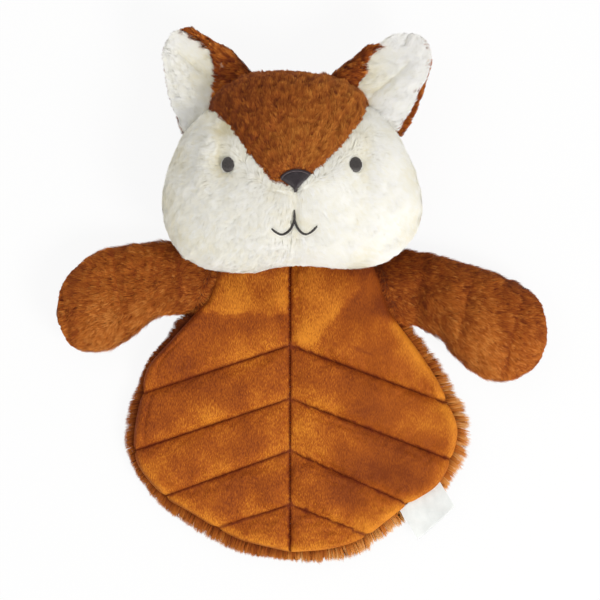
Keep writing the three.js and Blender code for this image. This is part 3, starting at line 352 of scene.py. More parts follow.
def ball(segments: int, rings: int) -> Mesh:
    """A unit sphere with its poles on Z.

    Args:
        segments: Number of its steps round.
        rings: Number of its steps from pole to pole.

    Returns:
        The mesh.
    """
    bm = bmesh.new()
    bmesh.ops.create_uvsphere(bm, u_segments=segments, v_segments=rings, radius=1)
    return bm


def block(columns: int, rows: int, rim: float = -1.0) -> Mesh:
    """A unit block; its upper and far faces, and those within a rim, have material 1.

    Args:
        columns: Number of its steps along X.
        rows: Number of its steps along Y.
        rim: Width of the rim at its near end along X.

    Returns:
        The mesh.
    """
    bm = bmesh.new()
    bmesh.ops.create_grid(bm, x_segments=columns, y_segments=rows, size=0.5)
    bmesh.ops.translate(bm, verts=bm.verts, vec=(0.5, 0.5, 0))
    made = bmesh.ops.extrude_face_region(bm, geom=bm.faces[:], use_keep_orig=True)
    upper = [part for part in made["geom"] if isinstance(part, bmesh.types.BMVert)]
    bmesh.ops.translate(bm, verts=upper, vec=(0, 0, 1))
    bmesh.ops.recalc_face_normals(bm, faces=bm.faces[:])
    for face in bm.faces:
        corners = [vert.co for vert in face.verts]
        shown = all(co.z > 0.5 or co.x < rim for co in corners)
        face.material_index = int(shown or all(co.y > 0.999 for co in corners))
    return bm


def mould(bm: Mesh, shape: Shape) -> Mesh:
    """Move every vertex of a closed mesh to where a shape function puts it, faces outwards.

    Args:
        bm: The mesh.
        shape: Maps its places to the new ones.

    Returns:
        The same mesh.
    """
    places = shape(np.array([v.co for v in bm.verts]))
    for vert, place in zip(bm.verts, places):
        vert.co = place
    if bm.calc_volume(signed=True) < 0:
        bmesh.ops.reverse_faces(bm, faces=bm.faces[:])
    bm.normal_update()
    return bm


def held(points: Array, ring: Array, give: float, inset: float | Array = 0.0) -> Array:
    """Bring points outside a closed outline back to just past it, as a trimmed pile.

    Args:
        points: The points.
        ring: The outline's corners in order.
        give: How far past it they may stand.
        inset: How far the outline is drawn in first, everywhere or at each corner.

    Returns:
        The points held in.
    """
    following = np.roll(ring, -1, axis=0)
    turning = np.sign((ring[:, 0] * following[:, 1] - ring[:, 1] * following[:, 0]).sum())
    ways = outwards(ring) * turning
    ring = ring - ways * inset
    uneven = give * np.clip(1 + 0.9 * waves(points * (1, 1, 0), 0.0022, 9, 8), 0.2, 2.4)
    result = points.copy()
    for start in range(0, len(points), TRIM_BATCH):
        batch = slice(start, start + TRIM_BATCH)
        spots, room = result[batch, :2], uneven[batch]
        nearest = ((spots[:, None] - ring) ** 2).sum(axis=2).argmin(axis=1)
        past = np.maximum(((spots - ring[nearest]) * ways[nearest]).sum(axis=1), 0)
        spots -= ways[nearest] * (past - room * np.tanh(past / room))[:, None]
    return result


def linked(name: str, data: bpy.types.ID) -> Object:
    """Make an object and link it to the scene.

    Args:
        name: Its name.
        data: Its mesh, curve, camera or light.

    Returns:
        The object.
    """
    made = bpy.data.objects.new(name, data)
    bpy.context.scene.collection.objects.link(made)
    return made


def finished(name: str, bm: Mesh, materials: Sequence, sharp: float = 60) -> Object:
    """Make an object of a finished mesh.

    Args:
        name: Name of the piece.
        bm: The mesh, which is freed.
        materials: Its materials, one for each material index.
        sharp: Angle in degrees above which edges stay sharp.

    Returns:
        The new object, linked to the scene.
    """
    mesh = bpy.data.meshes.new(name)
    bm.to_mesh(mesh)
    bm.free()
    for material in materials:
        mesh.materials.append(material)
    mesh.shade_smooth()
    mesh.set_sharp_from_angle(angle=math.radians(sharp))
    return linked(name, mesh)


def place(piece: Object, body: str, slot: str, nodes: Sequence[str] = (), fill: float = -1,
          bend: tuple[Array, Array] | None = None) -> Object:
    """Attach a piece to the body that it rides on, or bake it in place, and hide the CAD nodes that it stands
    for.

    Args:
        piece: The piece.
        body: The CAD body that it moves with.
        slot: Not used.
        nodes: The CAD nodes that it replaces.
        fill: Not used.
        bend: Where a bend from the toy's body to the piece's own would start and end; if given, the piece is
            only baked in place instead of attached to its body.

    Returns:
        The piece.
    """
    if bend:
        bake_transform(piece)
    else:
        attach(piece, body)
    if nodes:
        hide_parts(*nodes)
    LOG.info("%s: %d faces on %s", piece.name, len(piece.data.polygons), body)
    return piece


def thicken(piece: Object, thickness: float) -> Object:
    """Give a skin its cloth thickness, inwards.

    Args:
        piece: The skin.
        thickness: Thickness of the cloth.

    Returns:
        The same piece, now a shell.
    """
    wall = piece.modifiers.new("cloth", "SOLIDIFY")
    wall.thickness = thickness
    wall.offset = -1
    graph = bpy.context.evaluated_depsgraph_get()
    piece.data = bpy.data.meshes.new_from_object(piece.evaluated_get(graph))
    piece.modifiers.clear()
    return piece


@dataclass
class Surface:
    """Triangles of a skin that pile grows on."""

    corners: Array
    normals: Array

    @classmethod
    def of(cls, bm: Mesh, test: Callable[[bmesh.types.BMFace], bool]) -> "Surface":
        """Take the faces of a mesh that pass a test.

        Args:
            bm: The mesh.
            test: Whether a face belongs to the surface.

        Returns:
            The surface.
        """
        loops = [t for t in bm.calc_loop_triangles() if test(t[0].face)]
        corners = np.array([[loop.vert.co for loop in t] for t in loops])
        normals = np.array([[loop.vert.normal for loop in t] for t in loops])
        return cls(corners, normals)

    def scatter(self, density: float, rng: Chance) -> tuple[Array, Array]:
        """Scatter places over the skin.

        Args:
            density: Places for each square metre.
            rng: Source of chance.

        Returns:
            The places and the skin's normals there.
        """
        a, b, c = self.corners.transpose(1, 0, 2)
        area = np.linalg.norm(np.cross(b - a, c - a), axis=1) / 2
        count = int(area.sum() * density)
        pick = rng.choice(len(area), count, p=area / area.sum())
        u, v = rng.random((2, count))
        over = u + v > 1
        u, v = np.where(over, 1 - u, u), np.where(over, 1 - v, v)
        weights = np.stack([1 - u - v, u, v], axis=1)[:, :, None]
        return (self.corners[pick] * weights).sum(axis=1), unit((self.normals[pick] * weights).sum(axis=1))


@dataclass(frozen=True)
class Pile:
    """How the pile of one fabric grows. Density is in strands for each square metre, angles in radians."""

    length: float = 0.0052
    density: float = 4.2e6
    width: float = 0.00042
    lean: float = 0.75
    bend: float = 0.45
    lock: float = 0.0024
    pull: float = 0.55
    swirl: float = 0.55
    ruffle: float = 0.22
    stray: float = 0.16
    mottle: float = 1.0
    light: float = 0.4
    rise: float = 0.0
    seed: int = 1

HEAD_BACK_PILE = Pile(density=2.6e6, width=0.0005, seed=14)
FOREHEAD_PILE = Pile(length=0.0042, density=1.1e7, width=0.0003, lean=0.8, swirl=0.26, lock=0.001,
                     pull=0.28, light=0.35, seed=11)
CHEEK_PILE = Pile(length=0.0046, density=8.5e6, width=0.00034, lean=0.95, swirl=0.18, lock=0.0018,
                  pull=0.15, light=0.1, ruffle=0.04, stray=0.07, mottle=0.3, rise=0.35, seed=12)
EAR_BACK_PILE = Pile(length=0.0044, density=8.0e6, width=0.00034, lean=0.9, swirl=0.3, lock=0.0013,
                     pull=0.4, seed=30)
EAR_LINING_PILE = Pile(length=0.005, density=8.0e6, width=0.00036, lean=1.1, swirl=0.2, lock=0.002,
                       pull=0.25, light=0.12, ruffle=0.08, stray=0.1, mottle=0.3, rise=0.35, seed=31)
BODY_BACK_PILE = Pile(length=0.0046, density=2.2e6, width=0.0005, lean=1.0, seed=60)
LEFT_FRINGE_PILE = Pile(length=0.0115, density=1.9e7, width=0.00036, lean=0.35, bend=0.2, lock=0.0009,
                        pull=0.12, swirl=0.04, ruffle=0.06, stray=0.1, mottle=0.4, rise=0.3, seed=61)
# The fringe of each side, fluffier on the right, and how far its tips may stand past its trimmed edge.
FRINGE_PILES = {
    Side.LEFT: (LEFT_FRINGE_PILE, 0.0004),
    Side.RIGHT: (replace(LEFT_FRINGE_PILE, lock=0.0012, pull=0.36, swirl=0.1, ruffle=0.14,
                         mottle=0.55, seed=62), 0.0014),
}
ARM_FRONT_PILE = Pile(length=0.005, density=9.5e6, width=0.0003, lean=0.95, lock=0.0008, pull=0.22,
                      swirl=0.2, ruffle=0.08, mottle=0.8, seed=80)
ARM_BACK_PILE = replace(ARM_FRONT_PILE, density=2.6e6, width=0.0005, seed=81)
# The head's panels in the order of their numbers, each with its pile.
HEAD_PANELS = [
    ("forehead_panel", FOREHEAD_PILE),
    ("cheek_panel_left", CHEEK_PILE),
    ("cheek_panel_right", replace(CHEEK_PILE, seed=13)),
    ("head_back_panel_left", HEAD_BACK_PILE),
    ("head_back_panel_right", replace(HEAD_BACK_PILE, seed=15)),
]


def steady(*way: float) -> Flow:
    """Nap that is brushed the same way everywhere."""
    return lambda roots, normals: np.broadcast_to(np.array(way), roots.shape)


def locks(roots: Array, spacing: float, area_each: float, rng: Chance) -> Array:
    """Number of the strand that leads each strand's lock.

    Args:
        roots: Where the strands grow.
        spacing: Distance between locks.
        area_each: Skin area for each strand.
        rng: Source of chance.

    Returns:
        One leader for each strand.
    """
    leaders = rng.choice(len(roots), max(1, int(len(roots) * area_each / spacing ** 2)), replace=False)
    tree = KDTree(len(leaders))
    for n, leader in enumerate(leaders):
        tree.insert(roots[leader], n)
    tree.balance()
    return leaders[[tree.find(root)[1] for root in roots]]


def combed(roots: Array, normals: Array, way: Array, pile: Pile, scale: Array | float,
           rng: Chance) -> tuple[Array, Array]:
    """Comb the pile over, each strand with its own small turn, lean and length.

    Args:
        roots: Where the strands grow.
        normals: The skin's normals there.
        way: Direction that the pile is brushed in.
        pile: How it grows.
        scale: Length of each strand, as a share of the pile's own.
        rng: Source of chance.

    Returns:
        The middle and the tip of each strand, from its root.
    """
    count = len(roots)
    along = unit(way - normals * (way * normals).sum(axis=1, keepdims=True))
    turn = (pile.swirl * waves(roots, 0.016, pile.seed) + pile.stray * rng.normal(size=count))[:, None]
    along = along * np.cos(turn) + np.cross(normals, along) * np.sin(turn)
    lean = pile.lean + pile.ruffle * waves(roots, 0.009, pile.seed + 50)
    lean = lean + pile.stray * 0.7 * rng.normal(size=count)
    length = pile.length * (1 + 0.1 * waves(roots, 0.007, pile.seed + 90) + 0.1 * rng.normal(size=count))
    length = (length * scale)[:, None]
    lower, upper = (normals * np.cos(lean + more)[:, None] + along * np.sin(lean + more)[:, None]
                    for more in (0, pile.bend))
    return lower * length * 0.5, (lower + upper) * length * 0.5


def grow(name: str, surface: Surface, pile: Pile, flow: Flow, material: Material,
         tint: Shape | None = None, keep: Shape | None = None, scale: Shape | None = None,
         tidy: Shape | None = None) -> Object:
    """Grow pile on a skin, as narrow two-part blades that lie over and gather in locks.

    Args:
        name: Name of the piece.
        surface: The skin.
        pile: How it grows.
        flow: Direction that the pile is brushed in, from places and normals.
        material: Its finish, which reads the tint across and the height along each blade.
        tint: Shade of the fabric at each place, from 0 to 1.
        keep: Which places grow pile.
        scale: Length at each place, as a share of the pile's own.
        tidy: Moves finished points out of what the pile must not enter.

    Returns:
        The piece.
    """
    rng = np.random.default_rng(pile.seed)
    roots, normals = surface.scatter(pile.density, rng)
    if keep is not None:
        kept = keep(roots)
        roots, normals = roots[kept], normals[kept]
    count, share = len(roots), 1.0 if scale is None else scale(roots)
    middle, tip = combed(roots, normals, flow(roots, normals), pile, share, rng)
    leader = locks(roots, pile.lock, 1 / pile.density, rng)
    gather = (pile.pull * (0.6 + 0.4 * rng.random(count)))[:, None]
    tip = roots + tip * (1 - gather) + (roots[leader] - roots + tip[leader]) * gather
    middle = roots + middle * (1 - gather / 3) + (roots[leader] - roots + middle[leader]) * gather / 3
    across = unit(np.cross(tip - roots, normals) + 1e-9) * pile.width / 2
    roots = roots - normals * ROOT_DEPTH
    corners = [roots - across, roots + across, middle + across * 0.9, middle - across * 0.9, tip]
    points = np.stack(corners, axis=1).reshape(-1, 3)
    if tidy is not None:
        points = tidy(points)
    points[:, 2] = np.maximum(points[:, 2], FLOOR_GAP)
    chance = 0.06 * waves(roots, 0.006, pile.seed + 7) + 0.11 * rng.normal(size=count)
    chance = chance + 0.19 * rng.normal(size=count)[leader]
    shade = np.clip(pile.mottle * chance + (0.5 if tint is None else tint(roots)), 0.03, 0.97)
    mesh = blades(name, points, shade)
    facing = unit(np.cross(across, tip - roots))
    soft = unit(normals * (1 - pile.light) + facing * pile.light + (0, 0, pile.rise))
    mesh.normals_split_custom_set_from_vertices(np.repeat(soft, 5, axis=0).tolist())
    mesh.materials.append(material)
    return linked(name, mesh)


def blades(name: str, points: Array, shade: Array) -> bpy.types.Mesh:
    """Mesh of blades of five points each, whose map holds the shade across and the height along.

    Args:
        name: Name of the mesh.
        points: Five points for each blade: two at the root, two in the middle and the tip.
        shade: Shade of each blade.

    Returns:
        The mesh.
    """
    count = len(shade)
    corners = np.array([0, 1, 2, 0, 2, 3, 3, 2, 4])
    index = (np.arange(count)[:, None] * 5 + corners).astype(np.int32)
    mesh = bpy.data.meshes.new(name)
    mesh.vertices.add(len(points))
    mesh.vertices.foreach_set("co", points.astype(np.float32).ravel())
    mesh.loops.add(index.size)
    mesh.loops.foreach_set("vertex_index", index.ravel())
    mesh.polygons.add(count * 3)
    mesh.polygons.foreach_set("loop_start", np.arange(count * 3, dtype=np.int32) * 3)
    mesh.polygons.foreach_set("use_smooth", np.ones(count * 3, bool))
    half = np.array([-1, 1, 1, -1, 0]) * 0.012
    height = np.broadcast_to(np.array([0.02, 0.02, 0.5, 0.5, 0.98])[corners], (count, 9))
    places = np.stack([shade[:, None] + half[corners], height], axis=2).astype(np.float32)
    for map_name in ("Pile", "OFBake"):
        mesh.uv_layers.new(name=map_name).data.foreach_set("uv", places.ravel())
    mesh.uv_layers["Pile"].active_render = True
    mesh.update(calc_edges=True)
    return mesh


class Nodes:
    """Adds and joins the nodes of one material or group."""

    def __init__(self, tree: Tree) -> None:
        """Start on a node tree."""
        self.tree = tree

    def give(self, node: Node, inputs: dict) -> Node:
        """Set or join inputs of a node.

        Args:
            node: The node.
            inputs: Values or output sockets for its inputs, by name or number.

        Returns:
            The same node.
        """
        for name, value in inputs.items():
            if isinstance(value, Socket):
                self.tree.links.new(value, node.inputs[name])
            else:
                node.inputs[name].default_value = value
        return node

    def add(self, kind: str, inputs: dict | None = None, **options: object) -> Node:
        """Add a node.

        Args:
            kind: Its type.
            inputs: Values or output sockets for its inputs, by name or number.
            options: Its own properties.

        Returns:
            The node.
        """
        node = self.tree.nodes.new(kind)
        for name, value in options.items():
            setattr(node, name, value)
        return self.give(node, inputs or {})

    def ramp(self, value: Socket, stops: Sequence[tuple[float, str]]) -> Socket:
        """Colour ramp.

        Args:
            value: The socket that it reads.
            stops: Place and colour code of each stop.

        Returns:
            Its colour.
        """
        node = self.add("ShaderNodeValToRGB", {"Fac": value})
        elements = node.color_ramp.elements
        while len(elements) < len(stops):
            elements.new(0.5)
        for element, (where, code) in zip(elements, stops):
            element.position = where
            element.color = colour(code)
        return node.outputs["Color"]

    def mix(self, share: object, a: object, b: object, blend: str = "MIX") -> Socket:
        """Mix two colours."""
        inputs = {0: share, 6: a, 7: b}
        return self.add("ShaderNodeMix", inputs, data_type="RGBA", blend_type=blend).outputs[2]

    def math(self, operation: str, a: object, b: object = 0.0) -> Socket:
        """Arithmetic on two values."""
        return self.add("ShaderNodeMath", {0: a, 1: b}, operation=operation).outputs[0]

    def vector(self, operation: str, a: object, b: object) -> Socket:
        """Arithmetic on two vectors."""
        return self.add("ShaderNodeVectorMath", {0: a, 1: b}, operation=operation).outputs[0]

    def noise(self, vector: object, scale: object, detail: float) -> Node:
        """Noise texture."""
        return self.add("ShaderNodeTexNoise", {"Vector": vector, "Scale": scale, "Detail": detail})

    def bump(self, strength: float, deep: float, height: Socket) -> Socket:
        """Normal of a bumped surface."""
        inputs = {"Strength": strength, "Distance": deep, "Height": height}
        return self.add("ShaderNodeBump", inputs).outputs["Normal"]

    def nap(self, group: Tree, dash: float) -> Node:
        """Nap of one size of dash, laid over the piece's own place."""
        spot = self.add("ShaderNodeTexCoord").outputs["Object"]
        return self.add("ShaderNodeGroup", {"Vector": spot, "Dash": dash}, node_tree=group)


def nap_group() -> Tree:
    """Short brushed nap: fine dashes and soft brushed patches over a vector."""
    tree = bpy.data.node_groups.new("nap", "ShaderNodeTree")
    tree.interface.new_socket(name="Vector", in_out="INPUT", socket_type="NodeSocketVector")
    tree.interface.new_socket(name="Dash", in_out="INPUT", socket_type="NodeSocketFloat")
    for name in ("Dashes", "Patches"):
        tree.interface.new_socket(name=name, in_out="OUTPUT", socket_type="NodeSocketFloat")
    nodes = Nodes(tree)
    source, sink = nodes.add("NodeGroupInput"), nodes.add("NodeGroupOutput")
    spot = source.outputs["Vector"]
    wander = nodes.vector("MULTIPLY", nodes.noise(spot, 110.0, 1.0).outputs["Color"], (0.004, 0.004, 0.004))
    drawn = nodes.vector("MULTIPLY", nodes.vector("ADD", spot, wander), (2.6, 0.6, 1.0))
    dashes, patches = nodes.noise(drawn, source.outputs["Dash"], 1.0), nodes.noise(spot, 45.0, 2.0)
    nodes.give(sink, {"Dashes": dashes.outputs["Fac"], "Patches": patches.outputs["Fac"]})
    return tree


def new_material(name: str) -> tuple[Material, Nodes, Node]:
    """Start a material.

    Args:
        name: Its name.

    Returns:
        The material, its node helper and its Principled shader.
    """
    material = bpy.data.materials.new(name)
    material.use_nodes = True
    return material, Nodes(material.node_tree), material.node_tree.nodes["Principled BSDF"]


@dataclass(frozen=True)
class PileFinish:
    """Finish of a pile: shades from dark to light across the map, and darker roots along it as painted shade
    deep in the pile.
    """

    name: str
    shades: tuple[str, ...]
    root: str
    middle: str
    roughness: float = 0.8
    shine: float = 0.25
    sheen: float = 0.04
    sheen_roughness: float = 0.5

    def build(self) -> Material:
        """Build the material."""
        material, nodes, shader = new_material(self.name)
        spot = nodes.add("ShaderNodeUVMap", uv_map="Pile")
        parts = nodes.add("ShaderNodeSeparateXYZ", {"Vector": spot.outputs["UV"]})
        stops = [(n / (len(self.shades) - 1), code) for n, code in enumerate(self.shades)]
        shade = nodes.ramp(parts.outputs["X"], stops)
        # Painted shade deep in the pile: the root and middle colours darken each blade towards its root.
        depth = nodes.ramp(parts.outputs["Y"], [(0.0, self.root), (0.5, self.middle), (0.9, "#ffffff")])
        nodes.give(shader, {
            "Base Color": nodes.mix(1.0, shade, depth, "MULTIPLY"), "Roughness": self.roughness,
            "Specular IOR Level": self.shine, "Sheen Weight": self.sheen,
            "Sheen Roughness": self.sheen_roughness})
        return material


@dataclass(frozen=True)
class ClothFinish:
    """Finish of a skin or filling: a mottled cloth with a fine bump."""

    name: str
    dark: str
    light: str
    dash: float = 1400.0
    stops: tuple[float, float] = (0.3, 0.7)
    bump: float = 0.3
    bump_depth: float = 0.0004
    roughness: float = 0.9
    shine: float = 0.5

    def build(self, group: Tree) -> Material:
        """Build the material.

        Args:
            group: The nap.

        Returns:
            The material.
        """
        material, nodes, shader = new_material(self.name)
        dashes = nodes.nap(group, self.dash).outputs["Dashes"]
        nodes.give(shader, {
            "Base Color": nodes.ramp(dashes, list(zip(self.stops, (self.dark, self.light)))),
            "Normal": nodes.bump(self.bump, self.bump_depth, dashes),
            "Roughness": self.roughness, "Specular IOR Level": self.shine})
        return material


@dataclass(frozen=True)
class ThreadFinish(ClothFinish):
    """Finish of sewing thread: a finer, closer twist than cloth."""

    dash: float = 2600.0
    stops: tuple[float, float] = (0.35, 0.68)
    bump: float = 0.35
    bump_depth: float = 0.0002
    roughness: float = 0.4


@dataclass(frozen=True)
class VelourFinish:
    """Finish of the quilted front: brushed short nap, dark in its seams."""

    name: str = "velour"
    shade: str = "#7a3406"
    middle: str = "#a8540f"
    light: str = "#e08a26"
    seam: str = "#641f06"
    glow: str = "#f08a20"
    dash: float = 980.0
    patchy: float = 1.3

    def build(self, group: Tree) -> Material:
        """Build the material, which reads the skin's brushed, seam and rough attributes; the brushed one holds
        painted light and shade as well as the nap's spots.

        Args:
            group: The nap.

        Returns:
            The material.
        """
        material, nodes, shader = new_material(self.name)
        grain = nodes.nap(group, self.dash)
        brushed, seam, rough = (nodes.add("ShaderNodeAttribute", attribute_name=name).outputs["Fac"]
                                for name in ("brushed", "seam", "rough"))
        soft = nodes.math("MULTIPLY", nodes.math("SUBTRACT", grain.outputs["Patches"], 0.5), self.patchy)
        fine = nodes.math("MULTIPLY", nodes.math("SUBTRACT", grain.outputs["Dashes"], 0.5), rough)
        level = nodes.math("ADD", nodes.math("ADD", brushed, soft), fine)
        tone = nodes.ramp(level, [(0.0, self.shade), (0.45, self.middle), (0.95, self.light)])
        nodes.give(shader, {
            "Base Color": nodes.mix(seam, tone, colour(self.seam)),
            "Normal": nodes.bump(0.4, 0.0004, grain.outputs["Dashes"]),
            "Roughness": 0.75, "Specular IOR Level": 0.2, "Sheen Weight": 0.12, "Sheen Roughness": 0.4,
            "Sheen Tint": colour(self.glow)})
        return material


@dataclass(frozen=True)
class SatinFinish:
    """Finish of the woven satin ribbon, which is left bare."""

    name: str = "satin ribbon"
    light: str = "#eef0ee"
    dark: str = "#d4d8d6"
    threads: float = 55.0

    def build(self) -> Material:
        """Build the material: fine threads along the ribbon's own map and a soft crush."""
        material, nodes, shader = new_material(self.name)
        spot = nodes.add("ShaderNodeUVMap", uv_map="Ribbon").outputs["UV"]
        warp = nodes.add("ShaderNodeTexWave", {
            "Vector": spot, "Scale": self.threads, "Distortion": 0.6, "Detail": 1.0}, bands_direction="X")
        blend = nodes.mix(0.35, nodes.noise(spot, 5.0, 3.0).outputs["Fac"], warp.outputs["Color"])
        nodes.give(shader, {
            "Base Color": nodes.ramp(blend, [(0.25, self.dark), (0.7, self.light)]),
            "Normal": nodes.bump(0.12, 0.0002, warp.outputs["Fac"]),
            "Roughness": 0.42, "Sheen Weight": 0.2})
        return material


class Finishes:
    """Every material of the toy, built once."""

    def __init__(self) -> None:
        """Build the shared group and the materials."""
        nap = nap_group()
        self.forehead = PileFinish(
            "rust pile short", ("#74330b", "#944a12", "#b0601e", "#c97629", "#e2963f"),
            "#8a6450", "#d8c4b4").build()
        self.rust = PileFinish(
            "rust pile", ("#722d06", "#954711", "#b8601a", "#d8802c", "#f2a652"),
            "#7c5a40", "#d8bfa2").build()
        self.fringe = PileFinish(
            "rust pile long", ("#7e3a0c", "#a45618", "#c97628", "#e69a48", "#f8c888"),
            "#8e6238", "#dcc298").build()
        # The cream's warm low shades are reached where painted shade darkens it in folds, creases and the
        # ears' hollows.
        self.cream = PileFinish(
            "cream pile", ("#dccf9c", "#ece3c2", "#f8f4e4", "#fcfbf5", "#ffffff"),
            "#f4f1e6", "#fdfcf8").build()
        self.velour = VelourFinish().build(nap)
        self.rust_cloth = ClothFinish("rust backing cloth", "#5a2a10", "#8a4a20").build(nap)
        self.cream_cloth = ClothFinish("cream backing cloth", "#f2efe4", "#fbfaf4").build(nap)
        self.fibre = ClothFinish("loose fibre fill", "#e2e0d8", "#f4f3ee", 500.0).build(nap)
        self.eye_thread = ThreadFinish("grey thread", "#211d1c", "#504a47").build(nap)
        self.nose_thread = ThreadFinish("nose thread", "#170f11", "#30232a", roughness=0.45).build(nap)
        # Lighter thread for the nose's upper rim: a painted highlight on the ridge of its stitches.
        self.rim_highlight_thread = ThreadFinish("nose rim highlight thread", "#43373a", "#6f6265").build(nap)
        self.seam_thread = ThreadFinish(
            "seam thread", "#4e1a05", "#6a2a0a", roughness=0.9, shine=0.05).build(nap)
        self.ribbon = SatinFinish().build()


def closed_spline(points: Array, count: int) -> Array:
    """Evenly stepped points of a smooth closed curve.

    Args:
        points: The corners that it runs through.
        count: Number of points.

    Returns:
        The points.
    """
    knots = np.concatenate([points[-2:], points, points[:3]])
    at = (2 + np.arange(count) / count * len(points)) / (len(knots) - 1)
    return spline(knots, at)


def segment_distance(x: Array, y: Array, start: Array, end: Array) -> Array:
    """Distance from places to a straight line.

    Args:
        x: Places across.
        y: Places up.
        start: One end of the line.
        end: Its other end.

    Returns:
        The distances.
    """
    along = end - start
    t = np.clip(((x - start[0]) * along[0] + (y - start[1]) * along[1]) / (along @ along), 0, 1)
    return np.hypot(x - start[0] - t * along[0], y - start[1] - t * along[1])


def line_distance(x: Array, y: Array, line: Array) -> Array:
    """Distance from places to a line of several straight steps."""
    return np.min([segment_distance(x, y, a, b) for a, b in zip(line[:-1], line[1:])], axis=0)


def inside(x: Array, y: Array, corners: Array) -> Array:
    """Which places lie inside a closed outline.

    Args:
        x: Places across.
        y: Places up.
        corners: The outline's corners in order.

    Returns:
        True for each place inside.
    """
    hit = np.zeros(np.shape(x), bool)
    for (ax, ay), (bx, by) in zip(corners, np.roll(corners, -1, axis=0)):
        if ay != by:
            hit ^= ((ay > y) != (by > y)) & (x < (bx - ax) * (y - ay) / (by - ay) + ax)
    return hit


def thread(name: str, lines: Sequence[Array], radius: float, material: Material) -> Object:
    """Lay round threads along lines.

    Args:
        name: Name of the piece.
        lines: Points of each thread.
        radius: Radius of the thread.
        material: Its finish.

    Returns:
        The threads as one mesh.
    """
    curve = bpy.data.curves.new(name, "CURVE")
    curve.dimensions = "3D"
    curve.bevel_depth = radius
    curve.bevel_resolution = 1
    curve.use_fill_caps = True
    for line in lines:
        strand = curve.splines.new("POLY")
        strand.points.add(len(line) - 1)
        strand.points.foreach_set("co", np.concatenate([line, np.ones((len(line), 1))], axis=1).ravel())
    drawn = linked(name, curve)
    bpy.context.view_layer.update()
    mesh = bpy.data.meshes.new_from_object(drawn)
    bpy.data.objects.remove(drawn)
    mesh.name = name
    mesh.materials.clear()
    mesh.materials.append(material)
    mesh.shade_smooth()
    return linked(name, mesh)


